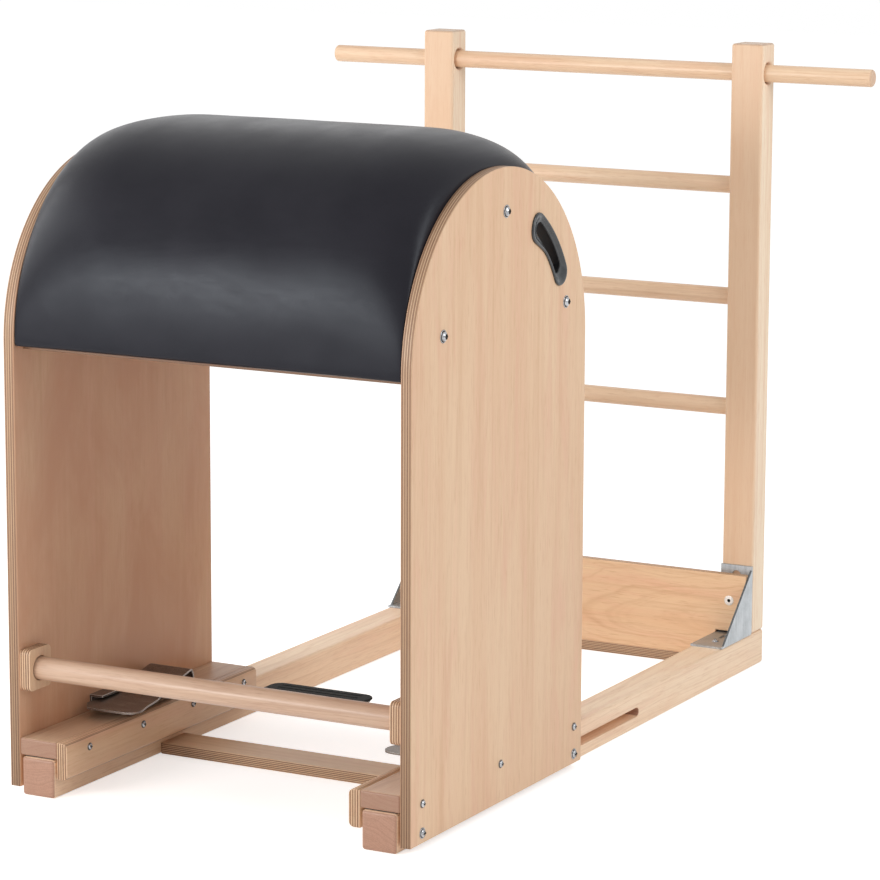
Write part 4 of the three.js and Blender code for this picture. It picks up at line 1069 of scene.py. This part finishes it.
def screw(centre, facing, head, shank):
    """A screw or bolt: its head, seated on the plane through the centre, and its shank behind."""
    turns = around(screw_sides)
    rings = [([(r * math.cos(t), r * math.sin(t), -back) for t in turns], 0) for r, back in reversed(shank)]
    rings += head_rings(**head)
    rotation = Vector((0, 0, 1)).rotation_difference(Vector(facing)).to_matrix().to_4x4()
    move = Matrix.Translation(Vector(centre)) @ rotation
    bm = bmesh.new()
    made = [[bm.verts.new(move @ Vector(p)) for p in ring] for ring, _ in rings]
    for (_, finish), lower, upper in zip(rings, made, made[1:]):
        band(bm, lower, upper, finish=finish)
    bm.faces.new(made[0])
    bm.faces.new(made[-1]).material_index = 1
    return bm


def bolt_length(node, head):
    """Length of a bolt's shank from the panel's face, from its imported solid."""
    low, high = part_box(node)
    return high.x - low.x - head["height"] - washer_rise


def barrel_bolts(word, side):
    """Bolts through a panel into the battens."""
    for place in ("front", "top", "rear"):
        node = f"{word}_{place}_barrel_bolt"
        length = bolt_length(node, BARREL_HEAD)
        shank = ((bolt_radius, 0.0), (bolt_radius, length - bolt_tip), (bolt_radius - bolt_tip, length))
        bm = screw((side * panel_outer, *middle_of(node).yz), (side, 0, 0), BARREL_HEAD, shank)
        piece_of(bm, f"{node}_head", "barrel", [CHROME, RECESS_PAINTED_SHADE], [node])


def guide_bolts(word, side):
    """Guide bolts of a panel, whose nylon collars run in the rail's grooves."""
    rim = collar_radius - collar_edge
    for place in ("front", "rear"):
        node = f"{word}_{place}_guide_bolt"
        length = bolt_length(node, GUIDE_HEAD)
        collar = length - collar_length
        shank = ((bolt_radius, 0.0), (bolt_radius, collar),
                 (rim, collar), (collar_radius, collar + collar_edge),
                 (collar_radius, length - collar_edge), (rim, length))
        bm = screw((side * panel_outer, *middle_of(node).yz), (side, 0, 0), GUIDE_HEAD, shank)
        for face in bm.faces:
            if panel_outer - side * face.calc_center_median().x > collar - clearance:
                face.material_index = 2
        piece_of(bm, f"{node}_head", "barrel", [CHROME, RECESS_PAINTED_SHADE, NYLON], [node])


def screws(name, body, centres, facing, head, shank, metal=CHROME):
    """One piece of alike screws. A shank is its radius and length as far as its tip, then its tip's."""
    radius, run, tip, length = shank
    joined = bmesh.new()
    for centre in centres:
        bm = screw(centre, facing, head, ((radius, 0.0), (radius, run), (tip, length)))
        mesh = bpy.data.meshes.new("screw")
        bm.to_mesh(mesh)
        bm.free()
        joined.from_mesh(mesh)
        bpy.data.meshes.remove(mesh)
    piece_of(joined, name, body, [metal, RECESS_PAINTED_SHADE])


def small_screws():
    """Screws that hold the runners, strips, brackets and board, which the solids leave out."""
    board_z = board_low.z + board_screw_rise
    for word, side in SIDES:
        x = side * (panel_outer + screw_off)
        screws(f"{word}_panel_screws", "barrel", [(x, y, screw_row) for y in panel_screw_rows],
               (side, 0, 0), PANEL_HEAD, (0.0022, 0.03, 0.0008, 0.036))
        x = side * (strip_low.x - screw_off)
        screws(f"{word}_strip_screws", "barrel", [(x, y, screw_row) for y in strip_screw_rows],
               (-side, 0, 0), STRIP_HEAD, (0.0018, 0.022, 0.0006, 0.028))
        x = side * (board_high.x - board_screw_inset)
        screws(f"{word}_board_screw", "base", [(x, board_low.y - screw_off, board_z)],
               (0, -1, 0), BOARD_HEAD, (0.003, 0.02, 0.0024, 0.0215), NICKEL)
        x = middle_of(f"{word}_corner_bracket").x
        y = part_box(f"{word}_corner_bracket")[0].y + bracket_screw_inset
        screws(f"{word}_bracket_screw", "base", [(x, y, rail_high.z + bracket_plate + screw_off)],
               (0, 0, 1), BRACKET_HEAD, (0.002, 0.02, 0.0006, 0.026))


def pad_point(turn, crown, x, tuck, rise=0.0):
    """A point of the pad's cover: its turn round the arch, its share of the crown and its tuck."""
    c, s = math.cos(turn), math.sin(turn)
    top_radius = pad_high.z - arch_z
    front_radius = arch_radius + pad_front_rise
    end_radius = arch_radius - pad_end_inset
    front = abs(c / front_radius) ** pad_fullness
    top = abs(s / top_radius) ** pad_fullness
    full = (front + top) ** (-1 / pad_fullness)
    reach = end_radius + (full - end_radius) * crown - tuck * max(crown, pad_end_tuck_share) + rise
    return Vector((x, arch_y + reach * c, arch_z + reach * s))


def pad_stations():
    """Places across the pad with the crown's share at each, closer together on the rolled shoulders."""
    steps = 17
    half = [(pad_high.x - pad_shoulder * (1 - math.cos(turn)), math.sin(turn)) for turn in quarter(steps)]
    edge = pad_high.x - pad_shoulder
    flat = [(-edge + 2 * edge * i / steps, 1.0) for i in range(1, steps)]
    return [(-x, crown) for x, crown in half] + flat + list(reversed(half))


def pad_turns():
    """Turns round the arch with the tuck at each, from the rear lower lip over the top to the front one."""
    rows = 84
    front_radius = arch_radius + pad_front_rise
    low = pad_lower_drop / front_radius
    lip = pad_lip / front_radius
    turns = [(lip * (1 - math.cos(turn)) - low, pad_lip * (1 - math.sin(turn))) for turn in quarter(5)[:-1]]
    far = [(math.pi - turn, tuck) for turn, tuck in reversed(turns)]
    middle = [(lip - low + i / rows * (math.pi + 2 * (low - lip)), 0.0) for i in range(rows + 1)]
    return [*turns, *middle, *far]


def pad():
    """Crowned pad, rolled down to the panels at both ends and tucked in at its lower edges."""
    stations = pad_stations()
    turns = pad_turns()
    inner_radius = (skin_radius + clearance) / math.cos(math.pi / skin_sides)
    bm = bmesh.new()
    outer = []
    inner = []
    for turn, tuck in turns:
        row = []
        for x, crown in stations:
            point = pad_point(turn, crown, x, tuck)
            swell = sum(noise.noise(point * scale) * height for scale, height in pad_dimples)
            calm = crown * (1 - tuck / pad_lip)
            row.append(bm.verts.new(pad_point(turn, crown, x, tuck, (swell - pad_slack) * calm)))
        outer.append(row)
    for turn, _ in turns:
        y = arch_y + inner_radius * math.cos(turn)
        z = arch_z + inner_radius * math.sin(turn)
        inner.append([bm.verts.new((x, y, z)) for x, _ in stations])
    last_row, last = len(turns) - 1, len(stations) - 1
    for i in range(last_row):
        for j in range(last):
            bm.faces.new((outer[i][j], outer[i + 1][j], outer[i + 1][j + 1], outer[i][j + 1]))
            bm.faces.new((inner[i][j], inner[i][j + 1], inner[i + 1][j + 1], inner[i + 1][j]))
        for j in (0, last):
            bm.faces.new((outer[i][j], inner[i][j], inner[i + 1][j], outer[i + 1][j]))
    for j in range(last):
        for i in (0, last_row):
            bm.faces.new((outer[i][j], inner[i][j], inner[i][j + 1], outer[i][j + 1]))
    for face in bm.faces:
        face.smooth = True
    piece = piece_of(bm, "pad_cushion", "barrel", [VINYL], ["barrel_pad"])
    finer = piece.modifiers.new("finer", "SUBSURF")
    finer.levels = 1
    finer.render_levels = 1


def carried_nodes():
    """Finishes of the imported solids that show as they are."""
    finishes = {
        "barrel_skin": SKIN_PLY, "left_former": former_ply, "right_former": former_ply,
        "front_sill": sill_ply, "rear_sill": sill_rear_ply,
        "front_batten": whitewood, "top_batten": whitewood, "rear_batten": whitewood,
        "left_runner_glide": NYLON, "right_runner_glide": NYLON,
        "left_brake_pad": RUBBER, "right_brake_pad": RUBBER,
    }
    for node, material in finishes.items():
        materials = frame["nodes"][node].data.materials
        materials.clear()
        materials.append(material)


def floor():
    """Pale floor that looks white but keeps the soft shadow of the object."""
    nodes = Nodes("floor_white")
    colour = nodes.mix(nodes.grit(6.0), tone(250, 250, 250), tone(247, 247, 247))
    nodes.feed(nodes.shader.inputs["Emission Color"], tone(255, 255, 255))
    nodes.feed(nodes.shader.inputs["Emission Strength"], nodes.times(nodes.seen(), floor_glow))
    corners = ((-floor_reach, -floor_reach), (floor_reach, -floor_reach),
               (floor_reach, floor_reach), (-floor_reach, floor_reach))
    bm = bmesh.new()
    bm.faces.new([bm.verts.new((x, y, -floor_drop)) for x, y in corners])
    thing_of(bm, "floor", [nodes.finish(colour, 0.9, specular_ior_level=0.0)])


def world():
    """White to the camera and in reflections, soft grey as light on the object."""
    nodes = Nodes("studio", bpy.data.worlds, "Background")
    bpy.context.scene.world = nodes.owner
    values = {"Value": nodes.seen(), "To Min": sky_light, "To Max": 1.0}
    nodes.feed(nodes.shader.inputs["Color"], (1, 1, 1, 1))
    nodes.feed(nodes.shader.inputs["Strength"], nodes.add("ShaderNodeMapRange", values).outputs[0])


def softbox(name, place, target, width, height, power, roll=0.0):
    """An area lamp that looks at a target, rolled about its line of sight by some degrees."""
    data = bpy.data.lights.new(name, "AREA")
    data.shape = "RECTANGLE"
    data.size = width
    data.size_y = height
    data.energy = power
    lamp = bpy.data.objects.new(name, data)
    bpy.context.scene.collection.objects.link(lamp)
    lamp.location = place
    aim = (Vector(target) - Vector(place)).to_track_quat("-Z", "Y").to_matrix()
    lamp.rotation_euler = (aim @ Matrix.Rotation(math.radians(roll), 3, "Z")).to_euler()


def lights():
    """A soft key from the right, a low box for the pad's band of light and a side box for its rim."""
    softbox("key", (2.95, -0.45, 2.25), (0.3, 0.0, 0.5), 1.4, 1.8, 38)
    softbox("front", (0.3, -4.2, 1.3), (0.2, 0.3, 0.5), 1.6, 1.2, 6)
    softbox("band", (-1.42, -3.4, 1.22), (0.0, -0.4, 0.78), 1.55, 0.45, 54, 17)
    softbox("side", (-2.9, -1.2, 1.9), (-0.3, -0.6, 0.84), 2.4, 1.4, 32)


def camera():
    """The photo's camera, fitted to the straight edges and circles in the photo."""
    data = bpy.data.cameras.new("camera")
    data.sensor_width = camera_sensor
    data.lens = camera_lens
    data.clip_end = camera_far
    shot = bpy.data.objects.new("camera", data)
    bpy.context.scene.collection.objects.link(shot)
    turn, tilt, roll = (Matrix.Rotation(math.radians(angle), 4, axis)
                        for angle, axis in zip(camera_angles, "ZXZ"))
    shot.matrix_world = Matrix.Translation(camera_place) @ turn @ tilt @ roll
    bpy.context.scene.camera = shot


side_panels()
handhold_liners()
base_rails()
uprights()
bars()
crossbars()
cross_board()
runner_blocks()
guide_strips()
foot_bar_blocks()
steel_plates()
shaft_and_springs()
tread()
for word, side in SIDES:
    barrel_bolts(word, side)
    guide_bolts(word, side)
small_screws()
pad()
carried_nodes()
floor()
world()
lights()
camera()
bpy.context.scene.view_settings.view_transform = "Standard"
